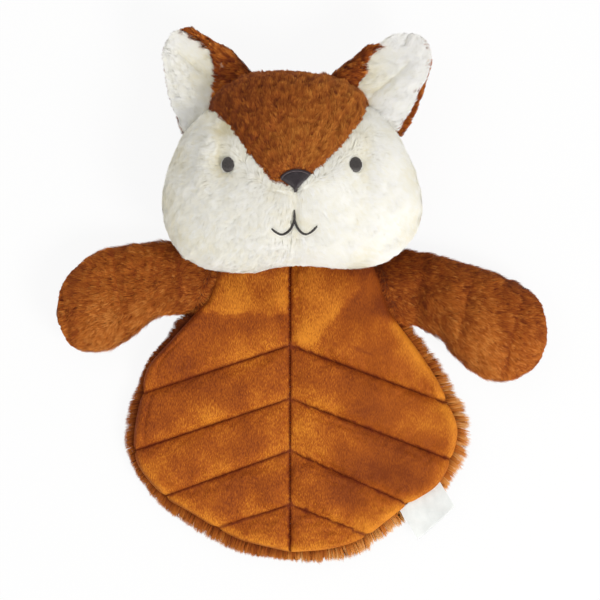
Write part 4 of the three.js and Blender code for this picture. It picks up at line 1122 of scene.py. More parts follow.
@dataclass
class Head:
    """The stuffed head: its form, five plush panels, their pile and the fibre fill."""

    width: float = 0.141
    height: float = 0.109
    depth: float = 0.072
    middle: float = 0.0355
    off_centre: tuple[float, float] = (0.0012, 0.039)
    exponent: float = 2.4
    muzzle_rise: float = 0.003
    muzzle_spread: float = 0.024
    muzzle_drop: float = 0.014
    pile_height: float = 0.0012
    cloth: float = 0.0012
    fibre_gap: float = 0.003
    back_inset: float = 0.0007

    def __post_init__(self) -> None:
        """Work out the outline and the lines of the face."""
        self.centre = NECK[:2] + np.array(self.off_centre)
        corners = self.on(np.array(HEAD_OUTLINE_SHARES))
        self.outline = RadialOutline(self.centre, closed_spline(corners, 200))
        self.brow = self.on(np.array(FOREHEAD_SHARES))

    def on(self, shares: Array, grow: float = 0.0) -> Array:
        """Places for shares of the head's half width and half height."""
        half = np.array([self.width, self.height]) / 2 + grow
        return self.centre + np.asarray(shares, float) * half

    def out(self, x: Array, y: Array, grow: float = 0.0) -> Array:
        """How far out places are on the head grown by a length, 1 at its rim."""
        return self.outline.share(x, y) / (1 + grow / (self.height / 2))

    def muzzle(self, x: Array, y: Array) -> Array:
        """Rise of the muzzle over the plain crown of the face."""
        dx, dy = x - self.centre[0], y - self.centre[1] + self.muzzle_drop
        return self.muzzle_rise * np.exp(-(dx * dx + dy * dy) / self.muzzle_spread ** 2)

    def relief(self, x: Array, y: Array) -> Array:
        """Small folds and swells of the face, over its plain crown.

        Args:
            x: Places across.
            y: Places up.

        Returns:
            The height that they add.
        """
        folds = -0.0012 * bell(line_distance(x, y, self.brow), 0.0028)
        for start, end, deep, wide in FACE_FOLDS:
            folds = folds - deep * bell(segment_distance(x, y, self.on(start), self.on(end)), wide)
        return folds + 0.0006 * waves(ground(x, y), 0.03, 5)

    def form(self, sphere: Array, grow: float, folded: bool = True) -> Array:
        """Map a unit sphere to the head.

        Args:
            sphere: Points of the unit sphere.
            grow: How far the form stands outside the head's own size.
            folded: Whether the face has its folds.

        Returns:
            The places on the head, none below the floor.
        """
        power = 2 / self.exponent
        x, y = self.outline.fitted(sphere, power, 1 + grow / (self.height / 2))
        z = swollen(sphere[:, 2], power) * (self.depth / 2 + grow)
        fade = np.clip(z / (self.depth / 4), 0, 1)
        folds = smoothstep(0.2, 0.8, z / (self.depth / 2)) * self.relief(x, y) if folded else 0
        z = z + fade * self.muzzle(x, y) + folds
        return np.stack([x, y, np.maximum(self.middle + z, SKIN_FLOOR_GAP)], axis=1)

    def crown(self, share: Array, grow: float) -> Array:
        """Height of the plain form over its middle, at shares of the way out to its rim."""
        round_ = np.maximum(1 - np.minimum(share, 1) ** self.exponent, 0) ** (1 / self.exponent)
        return round_ * (self.depth / 2 + grow)

    def over(self, x: Array, y: Array) -> Array:
        """Height of the face at places."""
        return self.middle + self.crown(self.out(x, y), 0.0) + self.muzzle(x, y)

    def under(self, x: Array, y: Array, grow: float = 0.0) -> Array:
        """Height of the underside at places, and far above where the head isn't."""
        share = self.out(x, y, grow)
        return np.where(share < 1, self.middle - self.crown(share, grow), 1.0)

    def is_forehead(self, x: Array, y: Array) -> Array:
        """Which places lie above the V of the forehead."""
        return y > np.interp(x, self.brow[:, 0], self.brow[:, 1])

    def panel_of(self, places: Array) -> Array:
        """Number of the panel at each place: forehead, cheeks and backs, left before right.

        Args:
            places: Places on the head.

        Returns:
            A number from 0 to 4 for each place.
        """
        x, y, z = places.T
        left = x < self.centre[0]
        front = np.where(self.is_forehead(x, y), 0, np.where(left, 1, 2))
        return np.where(z >= self.middle, front, np.where(left, 3, 4))

    def brushed(self, roots: Array, normals: Array) -> Array:
        """Direction of the nap: away from the nose, down on the cheeks and over the head's back.

        Args:
            roots: Places on the head.
            normals: Its normals there.

        Returns:
            A direction for each place.
        """
        nose = self.on((0.03, -0.1))
        away = np.zeros_like(roots)
        away[:, :2] = unit(roots[:, :2] - nose)
        panel = self.panel_of(roots)
        away[:, 1] += np.choose(panel, [0.7, -0.45, -0.45, 0, 0])
        edge = (bell(self.brow_gap(roots), 0.004) * np.choose(panel, [0.35, 0.8, 0.8, 0, 0]))[:, None]
        over = np.stack([np.where(roots[:, 0] < nose[0], 1.2, -1.2), np.full(len(roots), 1.6)], axis=1)
        away[:, :2] = away[:, :2] * (1 - edge) + over * edge
        away[panel > 2] = (0, -1, 0)
        return away

    def brow_gap(self, places: Array) -> Array:
        """Distance from places to the V of the forehead, seen from above."""
        return line_distance(places[:, 0], places[:, 1], self.brow)

    def trimmed(self, points: Array, inset: float) -> Array:
        """Pile trimmed to the outline, but free where it lies over the ears' bases.

        Args:
            points: Points of the pile.
            inset: How far the outline is drawn in.

        Returns:
            The points trimmed.
        """
        gaps = []
        for ends in EAR_BASE_SHARES.values():
            outer, inner = self.on(np.array(ends))
            gaps.append(segment_distance(*points.T[:2], outer + (inner - outer) * 0.16, inner))
        free = (np.min(gaps, axis=0) < 0.006) & (inset == 0)
        give = 0.0006 if inset == 0 else 0.0004
        return np.where(free[:, None], points, held(points, self.outline.points, give, inset))

    def cropped(self, roots: Array, face: "Face") -> Array:
        """Length of the face's pile, short beside the embroidery and at the V of the forehead."""
        return face.shorten(roots) * (0.45 + 0.55 * smoothstep(0, 0.004, self.brow_gap(roots)))

    def cream_tone_and_painted_shade(self, places: Array) -> Array:
        """Shade of the cream pile, with painted shade in the folds and on the left, away from the lamp, and
        painted light on the ridges.
        """
        x, y = places[:, 0], places[:, 1]
        return (0.68 + 0.08 * (x - self.centre[0]) / (self.width / 2)
                + np.clip(130 * self.relief(x, y), -0.4, 0.1))

    def rust_tone_and_painted_light(self, places: Array) -> Array:
        """Shade of the rust pile: lighter to the right, partly its nap's own tone and partly painted light
        from the lamp's side, and lighter just above the nose.
        """
        x, y = (places[:, :2] - self.centre).T
        return 0.47 + 0.48 * x / (self.width / 2) + 0.24 * bell(np.hypot(x - 0.003, y - 0.012), 0.018)

    def build(self, finishes: Finishes, face: "Face") -> None:
        """Build the panels, their pile and the fill.

        Args:
            finishes: The materials.
            face: The embroidery, which the pile is cut away for.
        """
        for number in range(len(HEAD_PANELS)):
            self.build_panel(number, finishes, face)
        inner = -self.pile_height - self.fibre_gap
        fill = mould(ball(48, 24), lambda sphere: self.form(sphere, inner, False))
        fill = finished("head_fibre_fill", fill, [finishes.fibre])
        place(fill, "head", "fibre_fill", ["head_stuffing"], 0.85)

    def build_panel(self, number: int, finishes: Finishes, face: "Face") -> None:
        """Build one panel and its pile.

        Args:
            number: The panel's number.
            finishes: The materials.
            face: The embroidery, which the pile is cut away for.
        """
        name, pile = HEAD_PANELS[number]
        front, inset = number < 3, 0.0 if number < 3 else self.back_inset
        slot, cloth, fur, tint = "rust_plush", finishes.rust_cloth, finishes.rust, self.rust_tone_and_painted_light
        if number == 0:
            fur = finishes.forehead
        elif front:
            slot, cloth, fur, tint = "cream_plush", finishes.cream_cloth, finishes.cream, self.cream_tone_and_painted_shade
        bm = mould(ball(150, 76), lambda sphere: self.form(sphere, -self.pile_height))
        centres = np.array([quad.calc_center_median() for quad in bm.faces])
        bm.faces.ensure_lookup_table()
        lost = [bm.faces[i] for i in np.flatnonzero(self.panel_of(centres) != number)]
        bmesh.ops.delete(bm, geom=lost, context="FACES")
        surface = Surface.of(bm, lambda face: True)
        skin = finished(name + "_cloth", bm, [cloth], ALL_SOFT)
        place(thicken(skin, self.cloth), "head", slot, [name], 0.8)
        pelt = grow(name.replace("_panel", "") + "_pile", surface, pile, self.brushed, fur, tint,
                    face.clear if front else None, (lambda p: self.cropped(p, face)) if front else None,
                    lambda p: self.trimmed(p, inset))
        place(pelt, "head", slot)


@dataclass
class Face:
    """Embroidered eyes, nose and mouth: padded patches under rows of thread."""

    head: Head
    eye_width: float = 0.0066
    eye_height: float = 0.008
    eye_spacing: float = 0.068
    eye_above: float = 0.0026
    nose_width: float = 0.016
    nose_height: float = 0.012
    nose_below: float = 0.0002
    nose_off: float = 0.002
    mouth_width: float = 0.0244
    mouth_height: float = 0.0126
    mouth_below: float = 0.022
    mouth_off: float = 0.0014
    mouth_stroke: float = 0.00105
    row: float = 0.00056
    thread_radius: float = 0.00029
    rim_radius: float = 0.0002
    lift: float = -0.0004
    crown: float = 0.0008
    sunk: float = 0.0005
    clear_round: float = 0.005
    near: float = 0.02

    def __post_init__(self) -> None:
        """Work out the outlines."""
        centre = self.head.centre
        angle = np.linspace(0, TURN, 40, endpoint=False)
        oval = np.stack([np.cos(angle) * self.eye_width, np.sin(angle) * self.eye_height], axis=1) / 2
        self.eyes = {side: centre + (side.sign * self.eye_spacing / 2, self.eye_above) + oval
                     for side in Side}
        nose_place = centre + (self.nose_off, -self.nose_below)
        self.nose = nose_place + np.array(NOSE_SHARES) * (self.nose_width, self.nose_height)
        mouth_place = centre + (self.mouth_off, -self.mouth_below)
        size, steps = np.array([self.mouth_width, self.mouth_height]), np.linspace(0, 1, 34)
        self.strokes = [mouth_place + spline(np.array(stroke) * size, steps) for stroke in MOUTH_SHARES]
        self.features = [*self.eyes.values(), self.nose]

    def gap(self, points: Array) -> Array:
        """Distance from places to the nearest embroidery, nothing inside it.

        Args:
            points: The places.

        Returns:
            The distances, 1 where none is near.
        """
        x, y = points[:, 0], points[:, 1]
        nearest = np.full(len(points), 1.0)
        for outline in self.features:
            ring = np.concatenate([outline, outline[:1]])
            near = np.linalg.norm(points[:, :2] - outline.mean(axis=0), axis=1) < self.near
            distance = line_distance(x[near], y[near], ring)
            distance = np.where(inside(x[near], y[near], outline), 0, distance)
            nearest[near] = np.minimum(nearest[near], distance)
        for stroke in self.strokes:
            near = np.linalg.norm(points[:, :2] - stroke.mean(axis=0), axis=1) < self.near
            distance = np.maximum(line_distance(x[near], y[near], stroke[::3]) - self.mouth_stroke / 2, 0)
            nearest[near] = np.minimum(nearest[near], distance)
        return nearest

    def clear(self, roots: Array) -> Array:
        """Places where pile grows, outside the embroidery."""
        return self.gap(roots) > 0.0003

    def shorten(self, roots: Array) -> Array:
        """Length of the pile, which is short beside the embroidery."""
        return 0.42 + 0.58 * smoothstep(0, self.clear_round, self.gap(roots))

    def heights(self, x: Array, y: Array) -> Array:
        """Height of the embroidery at places."""
        return self.head.over(x, y) + np.maximum(self.head.relief(x, y), 0) + self.lift

    def rows(self, outline: Array) -> list[Array]:
        """Upright rows of thread that fill an outline.

        Args:
            outline: The outline's corners.

        Returns:
            The points of each row.
        """
        low, high = outline[:, 0].min(), outline[:, 0].max()
        ring = np.concatenate([outline, outline[:1]])
        a, b = ring[:-1], ring[1:]
        middle, half = (low + high) / 2, (high - low) / 2
        rows = []
        for x in np.arange(low + self.row / 2, high, self.row):
            cross = (a[:, 0] > x) != (b[:, 0] > x)
            share = (x - a[cross, 0]) / (b[cross, 0] - a[cross, 0])
            ends = a[cross, 1] + share * (b[cross, 1] - a[cross, 1])
            if len(ends) < 2:
                continue
            run = np.linspace(ends.min(), ends.max(), 9)
            hump = 1 - ((run - run.mean()) / max(np.ptp(run) / 2, 1e-9)) ** 4
            fade = math.sqrt(max(1 - ((x - middle) / half) ** 2, 0.05))
            across = np.full(9, x)
            high_up = self.heights(across, run) + self.crown * hump * fade - self.sunk * (1 - hump)
            rows.append(np.column_stack([across, run, high_up]))
        return rows

    def pad(self, outline: Array) -> Mesh:
        """Padded patch under the rows of an outline.

        Args:
            outline: The outline's corners.

        Returns:
            The mesh.
        """
        ring = RadialOutline(outline.mean(axis=0), closed_spline(outline, 96))

        def shape(sphere: Array) -> Array:
            """Flatten the sphere to the outline, crowned above and sunk into the pile below."""
            x, y = ring.fitted(sphere, 0.6)
            z = self.heights(x, y) + sphere[:, 2] * np.where(sphere[:, 2] > 0, self.crown, 0.003)
            return np.stack([x, y, z], axis=1)
        return mould(ball(48, 20), shape)

    def build(self, finishes: Finishes) -> None:
        """Build the eyes, nose and mouth.

        Args:
            finishes: The materials.
        """
        for side, outline in self.eyes.items():
            self.patch(f"eye_{side.value}", outline, finishes.eye_thread, "grey_thread")
        self.patch("nose", self.nose, finishes.nose_thread, "nose_thread")
        # A row of lighter stitches along the nose's upper edge, as a painted highlight.
        arc = spline(self.nose[:6], np.linspace(0.02, 0.98, 40)) - (0, 0.0011)
        rim = np.column_stack([arc, self.heights(arc[:, 0], arc[:, 1]) + self.crown + self.rim_radius])
        place(thread("nose_rim_highlight_stitches", [rim], self.rim_radius, finishes.rim_highlight_thread), "head", "nose_thread")
        mouth = thread("mouth_stitches", self.mouth_stitches(), self.thread_radius, finishes.eye_thread)
        place(mouth, "head", "grey_thread", ["mouth"])

    def patch(self, name: str, outline: Array, finish: Material, slot: str) -> None:
        """Embroider one outline: its pad, and the rows of thread over it.

        Args:
            name: Name of the CAD node.
            outline: The outline's corners.
            finish: The thread's material.
            slot: The thread's slot.
        """
        place(finished(name + "_pad", self.pad(outline), [finish], ALL_SOFT), "head", slot, [name])
        place(thread(name + "_stitches", self.rows(outline), self.thread_radius, finish), "head", slot)

    def mouth_stitches(self) -> list[Array]:
        """Short slanting stitches across the mouth's strokes, shorter towards their ends.

        Returns:
            The points of each stitch.
        """
        stitches, spread = [], np.linspace(-1, 1, 5)
        for number, stroke in enumerate(self.strokes):
            steps = np.diff(stroke, axis=0)
            length = np.concatenate([[0], np.cumsum(np.linalg.norm(steps, axis=1))])
            for at in np.arange(0, length[-1], self.row):
                middle = np.array([np.interp(at, length, stroke[:, k]) for k in (0, 1)])
                step = min(int(np.searchsorted(length, at)), len(steps)) - 1
                along = unit(steps[max(step, 0)])
                across = np.array([-along[1], along[0]]) * 0.9 + along * 0.5
                start = 1.0 if number else min(1.0, 0.3 + at / 0.005)
                across = across * min(1.0, 0.35 + (length[-1] - at) / 0.003) * start
                line = middle + spread[:, None] * across * self.mouth_stroke / 2
                high = self.heights(line[:, 0], line[:, 1]) - 0.0001 + 0.0009 * (1 - spread ** 2)
                stitches.append(np.column_stack([line, high]))
        return stitches


@dataclass
class Ear:
    """One ear: a plush back folded forward at its inner third over a cream lining."""

    head: Head
    side: Side
    base: float = 0.0505
    length: float = 0.0475
    cloth: float = 0.0014
    back_depth: float = 0.0036
    flap_height: float = 0.0032
    inset: float = 0.0014
    lining_depth: float = 0.0016
    cup: float = 0.0022
    tip: float = 0.97
    taper: float = 0.35
    loose_width: float = 0.0024
    loose_drop: float = 0.0018
    shown_edge: float = 0.0028
    rim: float = 0.06
    give: float = 0.0006

    def __post_init__(self) -> None:
        """Work out the base line and the rows."""
        outer, inner = self.head.on(np.array(EAR_BASE_SHARES[self.side]))
        self.middle, self.along = (outer + inner) / 2, unit(inner - outer)
        self.away = np.array([self.along[1], -self.along[0]]) * self.side.sign
        rows = np.array(EAR_ROW_SHARES[self.side], float)
        across, up = rows[..., :1] * self.base * self.along, rows[..., 1:] * self.length * self.away
        places = self.middle + across + up
        self.columns = [places[:, k] for k in range(3)]
        share = np.linspace(0, 1, 60)
        self.ring = np.concatenate([spline(self.columns[0], share), spline(self.columns[1], share[::-1])])
        self.lining_inset = np.concatenate([self.shown(share), 0 * share])[:, None]
        loose = self.loose_drop * self.unrolled(share[::-1])
        self.back_inset = np.concatenate([0 * share, loose])[:, None]

    def shown(self, share: Array) -> Array:
        """How far the back shows past the lining's outer edge, at shares up the ear."""
        return self.shown_edge * smoothstep(0.62, 0.2, share) * (self.side is Side.RIGHT)

    def unrolled(self, share: Array) -> Array:
        """How far the fold has run out into the lining's edge, which it does near the right ear's tip."""
        return smoothstep(0.56, 0.68, share) * (self.side is Side.RIGHT)

    def row(self, share: Array) -> tuple[Array, Array, Array, Array]:
        """The ear's rows at shares of the way up.

        Args:
            share: The shares.

        Returns:
            Outer edge, direction across, width and width to the fold's free edge.
        """
        outer, fold, free = (spline(column, share) for column in self.columns)
        width = np.linalg.norm(fold - outer, axis=1)
        across = (fold - outer) / width[:, None]
        open_ = np.clip(np.linalg.norm(free - outer, axis=1) + 0.0024, width * 0.2, width - 0.005)
        outer, width = outer + across * self.inset, width - 2 * self.inset
        tip = np.sqrt(1 - (np.clip(share - 0.9, 0, 0.1) / 0.105) ** 2)
        outer = outer + across * (width * (1 - tip) * 0.42)[:, None]
        return outer, across, width * (0.3 + 0.7 * tip), open_ * (0.3 + 0.7 * tip)

    def back_shape(self, cell: Array) -> Array:
        """Map a unit block to the back: out from the edge below, round the fold and back above.

        Args:
            cell: Points of the unit block.

        Returns:
            The places on the back.
        """
        s, share, depth = cell.T
        share = share * self.tip
        outer, across, width, open_ = self.row(share)
        thin = 1 - self.taper * share
        loose = self.unrolled(share)
        width = width - self.loose_width * loose
        low = -self.back_depth * thin
        high = (self.flap_height * (1 - loose) - self.loose_drop * loose) * thin
        radius = (high - low) / 2
        bend = np.clip((s - 0.45) / 0.2, 0, 1) * math.pi
        flat = np.clip(s / 0.45, 0, 1) * (width - radius)
        back = np.clip((s - 0.65) / 0.35, 0, 1)
        flap = back * (width - radius - open_) * (1 - 0.9 * loose)
        below = s <= 0.65
        distance = np.where(below, flat + radius * np.sin(bend), width - radius - flap)
        height = np.where(below, low + radius * (1 - np.cos(bend)), high)
        height = height + self.cupped(distance / width, thin) * (s < 0.5)
        height = height - 0.0012 * back ** 2
        distance = distance + np.where(below, np.sin(bend), 0) * depth * self.cloth
        height = height + np.where(below, -np.cos(bend), 1) * depth * self.cloth
        return np.column_stack([outer + across * distance[:, None], self.head.middle + height])

    def cupped(self, share: Array, thin: Array) -> Array:
        """How far the outer part of the back is cupped up, at shares of its width from its edge."""
        return self.cup * np.clip(1 - share, 0, 1) ** 2 + 0.0018 * thin * smoothstep(0.22, 0, share)

    def lining_shape(self, cell: Array) -> Array:
        """Map a unit block to the lining: a cupped sheet tucked under the fold, with a soft crease.

        Args:
            cell: Points of the unit block.

        Returns:
            The places on the lining.
        """
        s, share, depth = cell.T
        share = share * self.tip
        outer, across, width, _ = self.row(share)
        thin = 1 - self.taper * share
        start, loose = 0.0003 + self.shown(share), self.unrolled(share)
        distance = start + s * (width - 0.003 * (1 - loose) + 0.0004 * loose - start)
        spot = outer + across * distance[:, None]
        height = (-self.lining_depth + 0.0022) * thin + self.cup * 1.1 * (1 - s) ** 2 + 0.0002 * loose
        bed = self.cupped(distance / width, thin) - self.back_depth * thin + 0.0003
        height = bed + (height - bed) * smoothstep(-0.02, 0.2, s)
        height = height - 0.0016 * self.creased(spot) + depth * self.cloth
        return np.column_stack([spot, self.head.middle + height])

    def creased(self, spots: Array) -> Array:
        """How near places are to the creases that run down the lining into its hollow.

        Args:
            spots: Places seen from above.

        Returns:
            A share from 0 to 1 for each place.
        """
        axes = np.array([self.along * self.base, self.away * self.length])
        lines = [self.middle + np.array(crease) @ axes for crease in EAR_CREASE_SHARES[self.side]]
        return bell(np.min([line_distance(spots[:, 0], spots[:, 1], line) for line in lines], axis=0), 0.0016)

    def shares(self, places: Array) -> tuple[Array, Array]:
        """How far inwards and up the ear places lie, as shares of its base and its length."""
        spots = places[:, :2] - self.middle
        return spots @ self.along / self.base, spots @ self.away / self.length

    def hollow(self, places: Array) -> Array:
        """Shade of the lining, with painted shade, warmer and darker, in its crease and down in its hollow by
        the fold.
        """
        (inwards, up), (level, hollow_shade) = self.shares(places), EAR_LINING_PAINTED_SHADES[self.side]
        return (level - hollow_shade * smoothstep(-0.35, 0.3, inwards) * smoothstep(0.9, 0.15, up)
                - 0.22 * self.creased(places[:, :2]))

    def back_painted_shading(self, places: Array) -> Array:
        """Shade of the back: painted light where it stands higher on its fold, and painted shade inside the
        fold near the head.

        Args:
            places: Places on the back.

        Returns:
            A shade for each place.
        """
        inwards, up = self.shares(places)
        shadow = bell(inwards - 0.34 + 0.2 * up, 0.12) * smoothstep(0.75, 0.3, up)
        base = self.head.middle
        return 0.46 + 0.1 * smoothstep(base, base + 0.004, places[:, 2]) - 0.3 * shadow

    def build(self, finishes: Finishes) -> None:
        """Build the back, the lining and their pile.

        Args:
            finishes: The materials.
        """
        back = mould(block(56, 36, self.rim if self.side is Side.RIGHT else -1.0), self.back_shape)
        self.build_layer("back", back, (finishes.rust_cloth, finishes.rust, "rust_plush"), EAR_BACK_PILE,
                         0.45, self.back_painted_shading, self.back_inset)
        lining = mould(block(40, 36), self.lining_shape)
        self.build_layer("lining", lining, (finishes.cream_cloth, finishes.cream, "cream_plush"),
                         EAR_LINING_PILE, 0.25, self.hollow, self.lining_inset)

    def build_layer(self, layer: str, bm: Mesh, looks: tuple[Material, Material, str], pile: Pile,
                    aslant: float, tint: Shape, inset: Array) -> None:
        """Build one layer of the ear and its pile, brushed to the tip.

        Args:
            layer: Its name.
            bm: Its mesh, whose shown faces have material 1.
            looks: Material of its cloth, material of its pile and slot of both.
            pile: How its pile grows on the left ear.
            aslant: How far the nap turns outwards.
            tint: Shade of its pile.
            inset: How far the ear's ring is drawn in to trim the pile.
        """
        cloth, fur, slot = looks
        body = f"ear_{self.side.value}"
        node = f"{body}_{layer}"
        surface = Surface.of(bm, lambda face: face.material_index == 1)
        place(finished(node + "_cloth", bm, [cloth] * 2), body, slot, [node], 0.4)
        if self.side is Side.RIGHT:
            pile = replace(pile, seed=pile.seed + 10)
        flow = steady(*(self.away - self.along * aslant), 0.0)
        pelt = grow(node + "_pile", surface, pile, flow, fur, tint,
                    tidy=lambda p: held(p, self.ring, self.give, inset))
        place(pelt, body, slot)


@dataclass
class Body:
    """The flat body: five pairs of quilted velour strips over wadding on a plush back."""

    head: Head
    length: float = 0.170
    width: float = 0.178
    back_thickness: float = 0.0062
    wadding_base: float = 0.0073
    wadding_thickness: float = 0.002
    wadding_inset: float = 0.009
    front_base: float = 0.0096
    seam_height: float = 0.0014
    edge_height: float = 0.0008
    crown: float = 0.0042
    thread_radius: float = 0.00022
    stitch: float = 0.0027
    stitch_gap: float = 0.0006
    seam_reach: float = 0.0042
    edge_reach: float = 0.0045
    gap: float = 0.00015
    heart: float = 0.55
    head_grow: float = 0.0005
    head_gap: float = 0.0006
    cuff: float = 0.004
    bare_by_label: float = 0.0135
    fringe_root: float = 0.0026

    def on(self, side: Side, share: Sequence) -> Array:
        """Places for shares of the half width and of the length below the neck."""
        share = np.asarray(share, float)
        return NECK[:2] + share * (side.sign * self.width / 2, -self.length)

    def edge(self, side: Side) -> Array:
        """Points of one side's edge from neck to hem."""
        return self.on(side, [point for points in BODY_EDGE_SHARES[side] for point in points] + [(0, 1)])

    def stretch(self, side: Side, strip: int, at: Array) -> Array:
        """Places down one strip's stretch of the edge.

        Args:
            side: Its side.
            strip: Its number from the neck.
            at: Shares of the way down it.

        Returns:
            The places.
        """
        counts = [len(points) for points in BODY_EDGE_SHARES[side]]
        points = self.edge(side)
        start, end = sum(counts[:strip]), sum(counts[:strip + 1])
        return spline(points, (start + (end - start) * at) / (len(points) - 1))

    @property
    def centre(self) -> Array:
        """The middle of the body."""
        return NECK[:2] + (0, -self.heart * self.length)

    @property
    def tag(self) -> Array:
        """Where the label comes out of the seam."""
        return self.on(Side.RIGHT, LABEL_MIDDLE_SHARES)

    def outline(self, inset: float) -> RadialOutline:
        """The body's outline, seen from the middle of the body.

        Args:
            inset: How far it is drawn in.

        Returns:
            The outline.
        """
        left, right = self.edge(Side.LEFT), self.edge(Side.RIGHT)
        left[0, 1] = right[0, 1] = NECK[1]
        smooth = closed_spline(np.concatenate([left, right[-2::-1]]), 400)
        return RadialOutline(self.centre, smooth - outwards(smooth) * inset)

    def strip_shape(self, side: Side, strip: int) -> Shape:
        """Shape of one velour strip, from a unit block.

        Args:
            side: Its side.
            strip: Its number from the neck.

        Returns:
            A function that maps the unit block to the strip.
        """
        upper_seam, lower_seam = strip > 0, strip + 1 < len(STRIP_NAMES)
        start_y, end_y = (NECK[1] - CENTRE_SEAM_SHARES[strip + n] * self.length for n in (0, 1))

        def shape(cell: Array) -> Array:
            """Out from the centre seam, down from the upper seam and puffed up between them."""
            out, down, up = cell.T
            out = np.sin(out * math.pi / 2) * 0.5 + out * 0.5
            top, bottom = (self.stretch(side, strip, down * 0 + end) for end in (0, 1))
            tall = np.linalg.norm(top - bottom, axis=1)
            notch = upper_seam * bell(down * tall, 0.0022) + lower_seam * bell((1 - down) * tall, 0.0022)
            rim = self.stretch(side, strip, down)
            rim = rim + unit(self.centre - rim) * (0.001 * notch)[:, None]
            y0 = start_y + (end_y - start_y) * down
            x = NECK[0] + side.sign * self.gap + (rim[:, 0] - NECK[0]) * out
            y = y0 + (rim[:, 1] - y0) * out
            spread = np.hypot(rim[:, 0] - NECK[0], rim[:, 1] - y0)
            high_y = start_y + (top[:, 1] - start_y) * out
            low_y = end_y + (bottom[:, 1] - end_y) * out
            from_seams = [out * spread]
            if upper_seam:
                from_seams.append(np.maximum(high_y - low_y, 0) * down * 0.95)
            if lower_seam:
                from_seams.append(np.maximum(high_y - low_y, 0) * (1 - down) * 0.95)
            edge = (1 - out) * spread
            soft = 0.0005 * waves(ground(x, y), 0.028, 8) - 0.0011 * self.tuck(side, edge, y)
            puff = self.puffed(from_seams, edge, waves(ground(x, y), 0.006, 3 + strip))
            z = self.front_base + self.seam_height + (self.crown + soft) * puff
            z = z - (self.seam_height - self.edge_height) * bell(edge, 0.002)
            z = np.minimum(z, self.head.under(x, y, self.head_grow) - self.head_gap)
            hem = self.front_base - 0.0028 * smoothstep(0.0035, 0.0002, edge)
            return np.column_stack([x, y, np.where(up > 0.5, np.maximum(z, self.front_base + 0.0004), hem)])
        return shape

    def puffed(self, from_seams: list[Array], edge: Array, pucker: Array) -> Array:
        """How far a strip is puffed up.

        Args:
            from_seams: Distance from each of its seams.
            edge: Distance from its rim.
            pucker: Noise of its puckers.

        Returns:
            A share of its crown for each place.
        """
        puff = np.ones_like(edge)
        for distance in from_seams:
            puff = puff * (1 - np.exp(-distance / self.seam_reach))
        puff = puff * np.sqrt(1 - (1 - np.clip(edge / self.edge_reach, 0, 1)) ** 2)
        return puff * (1 + 0.2 * pucker * bell(np.min(from_seams, axis=0), 0.006))

    def tuck(self, side: Side, edge: Array, y: Array) -> Array:
        """Depth from 0 to 1 of the soft line along the left edge.

        Args:
            side: Side of the strip.
            edge: Distance from the edge.
            y: Places up.

        Returns:
            The depths, nothing on the right.
        """
        down = NECK[1] - y
        stretch = smoothstep(0.045, 0.06, down) * smoothstep(0.125, 0.105, down)
        return bell(edge - 0.006, 0.0012) * stretch * (side is Side.LEFT)

    def seams(self) -> list[tuple[Array, Array]]:
        """The two ends of every sewn seam of the front.

        Returns:
            The centre seam, then the slanting ones.
        """
        centre = [(NECK[0], NECK[1] - share * self.length) for share in CENTRE_SEAM_SHARES]
        lines = [(np.array(centre[0]), np.array(centre[-1]))]
        for side in Side:
            for strip in range(1, len(STRIP_NAMES)):
                lines.append((np.array(centre[strip]), self.stretch(side, strip, np.zeros(1))[0]))
        return lines

    def nap_spots_and_painted_light(self, x: Array, y: Array) -> Array:
        """Shade of the velour: darker to the right, soft spots that are partly painted light, and gold patches
        of painted light below the neck.

        Args:
            x: Places across.
            y: Places up.

        Returns:
            Shades from 0 to 1.
        """
        x, y = x - NECK[0], NECK[1] - y
        level = 0.4 - 0.14 * smoothstep(0, 0.03, x)
        for px, py, wide, tall, strength in NAP_AND_PAINTED_LIGHT_SPOTS:
            level = level + strength * bell(np.hypot((x - px) / wide, (y - py) / tall), 1)
        # Gold patches of painted light left and right of the centre seam, with sharp painted shadow edges,
        # faded out under the head.
        y = y + 0.0010 * np.sin(x * 260 + 1) + 0.0005 * np.sin(x * 700)
        left = smoothstep(0.0395, 0.0365, y) * smoothstep(0.0005, -0.0015, x)
        left = left * smoothstep(-0.003, 0.003, x + 0.040 + 0.45 * (y - 0.018))
        left = left * (1 - 0.4 * bell(x + 0.0155, 0.0068))
        edge = 0.0385 - 0.84 * np.maximum(y - 0.0245, 0)
        right = smoothstep(edge + 0.0025, edge - 0.0025, x) * smoothstep(-0.001, 0.003, x)
        right = right * smoothstep(0.058, 0.052, y) * (0.55 + 0.45 * bell(edge - x - 0.007, 0.011))
        return np.clip(level + 0.42 * (left + right) * smoothstep(0.012, 0.019, y), 0, 1)

    def shade_skin(self, piece: Object) -> None:
        """Write the brushed, seam and rough shades of a velour strip to its points; the brushed shade holds
        painted light and shade besides the nap's spots.

        Args:
            piece: The strip.
        """
        mesh = piece.data
        places = np.empty(len(mesh.vertices) * 3, np.float32)
        mesh.vertices.foreach_get("co", places)
        x, y, _ = places.reshape(-1, 3).T
        wavy = 0.00025 * waves(ground(x, y), 0.005, 21)
        distance = np.min([segment_distance(x + wavy, y + wavy, a, b) for a, b in self.seams()], axis=0)
        above, below = self.bands(x, y)
        # Painted light on each strip just above the seam below it, where its puff faces the lamp, and painted
        # shade just below the seam above.
        brushed = self.nap_spots_and_painted_light(x, y) + 0.14 * bell(below, 0.006) - 0.05 * bell(above, 0.006)
        left, right = (line_distance(x, y, self.edge(side)) for side in Side)
        down = NECK[1] - y
        low, under_arm = smoothstep(0.09, 0.14, down), smoothstep(0.047, 0.038, down)
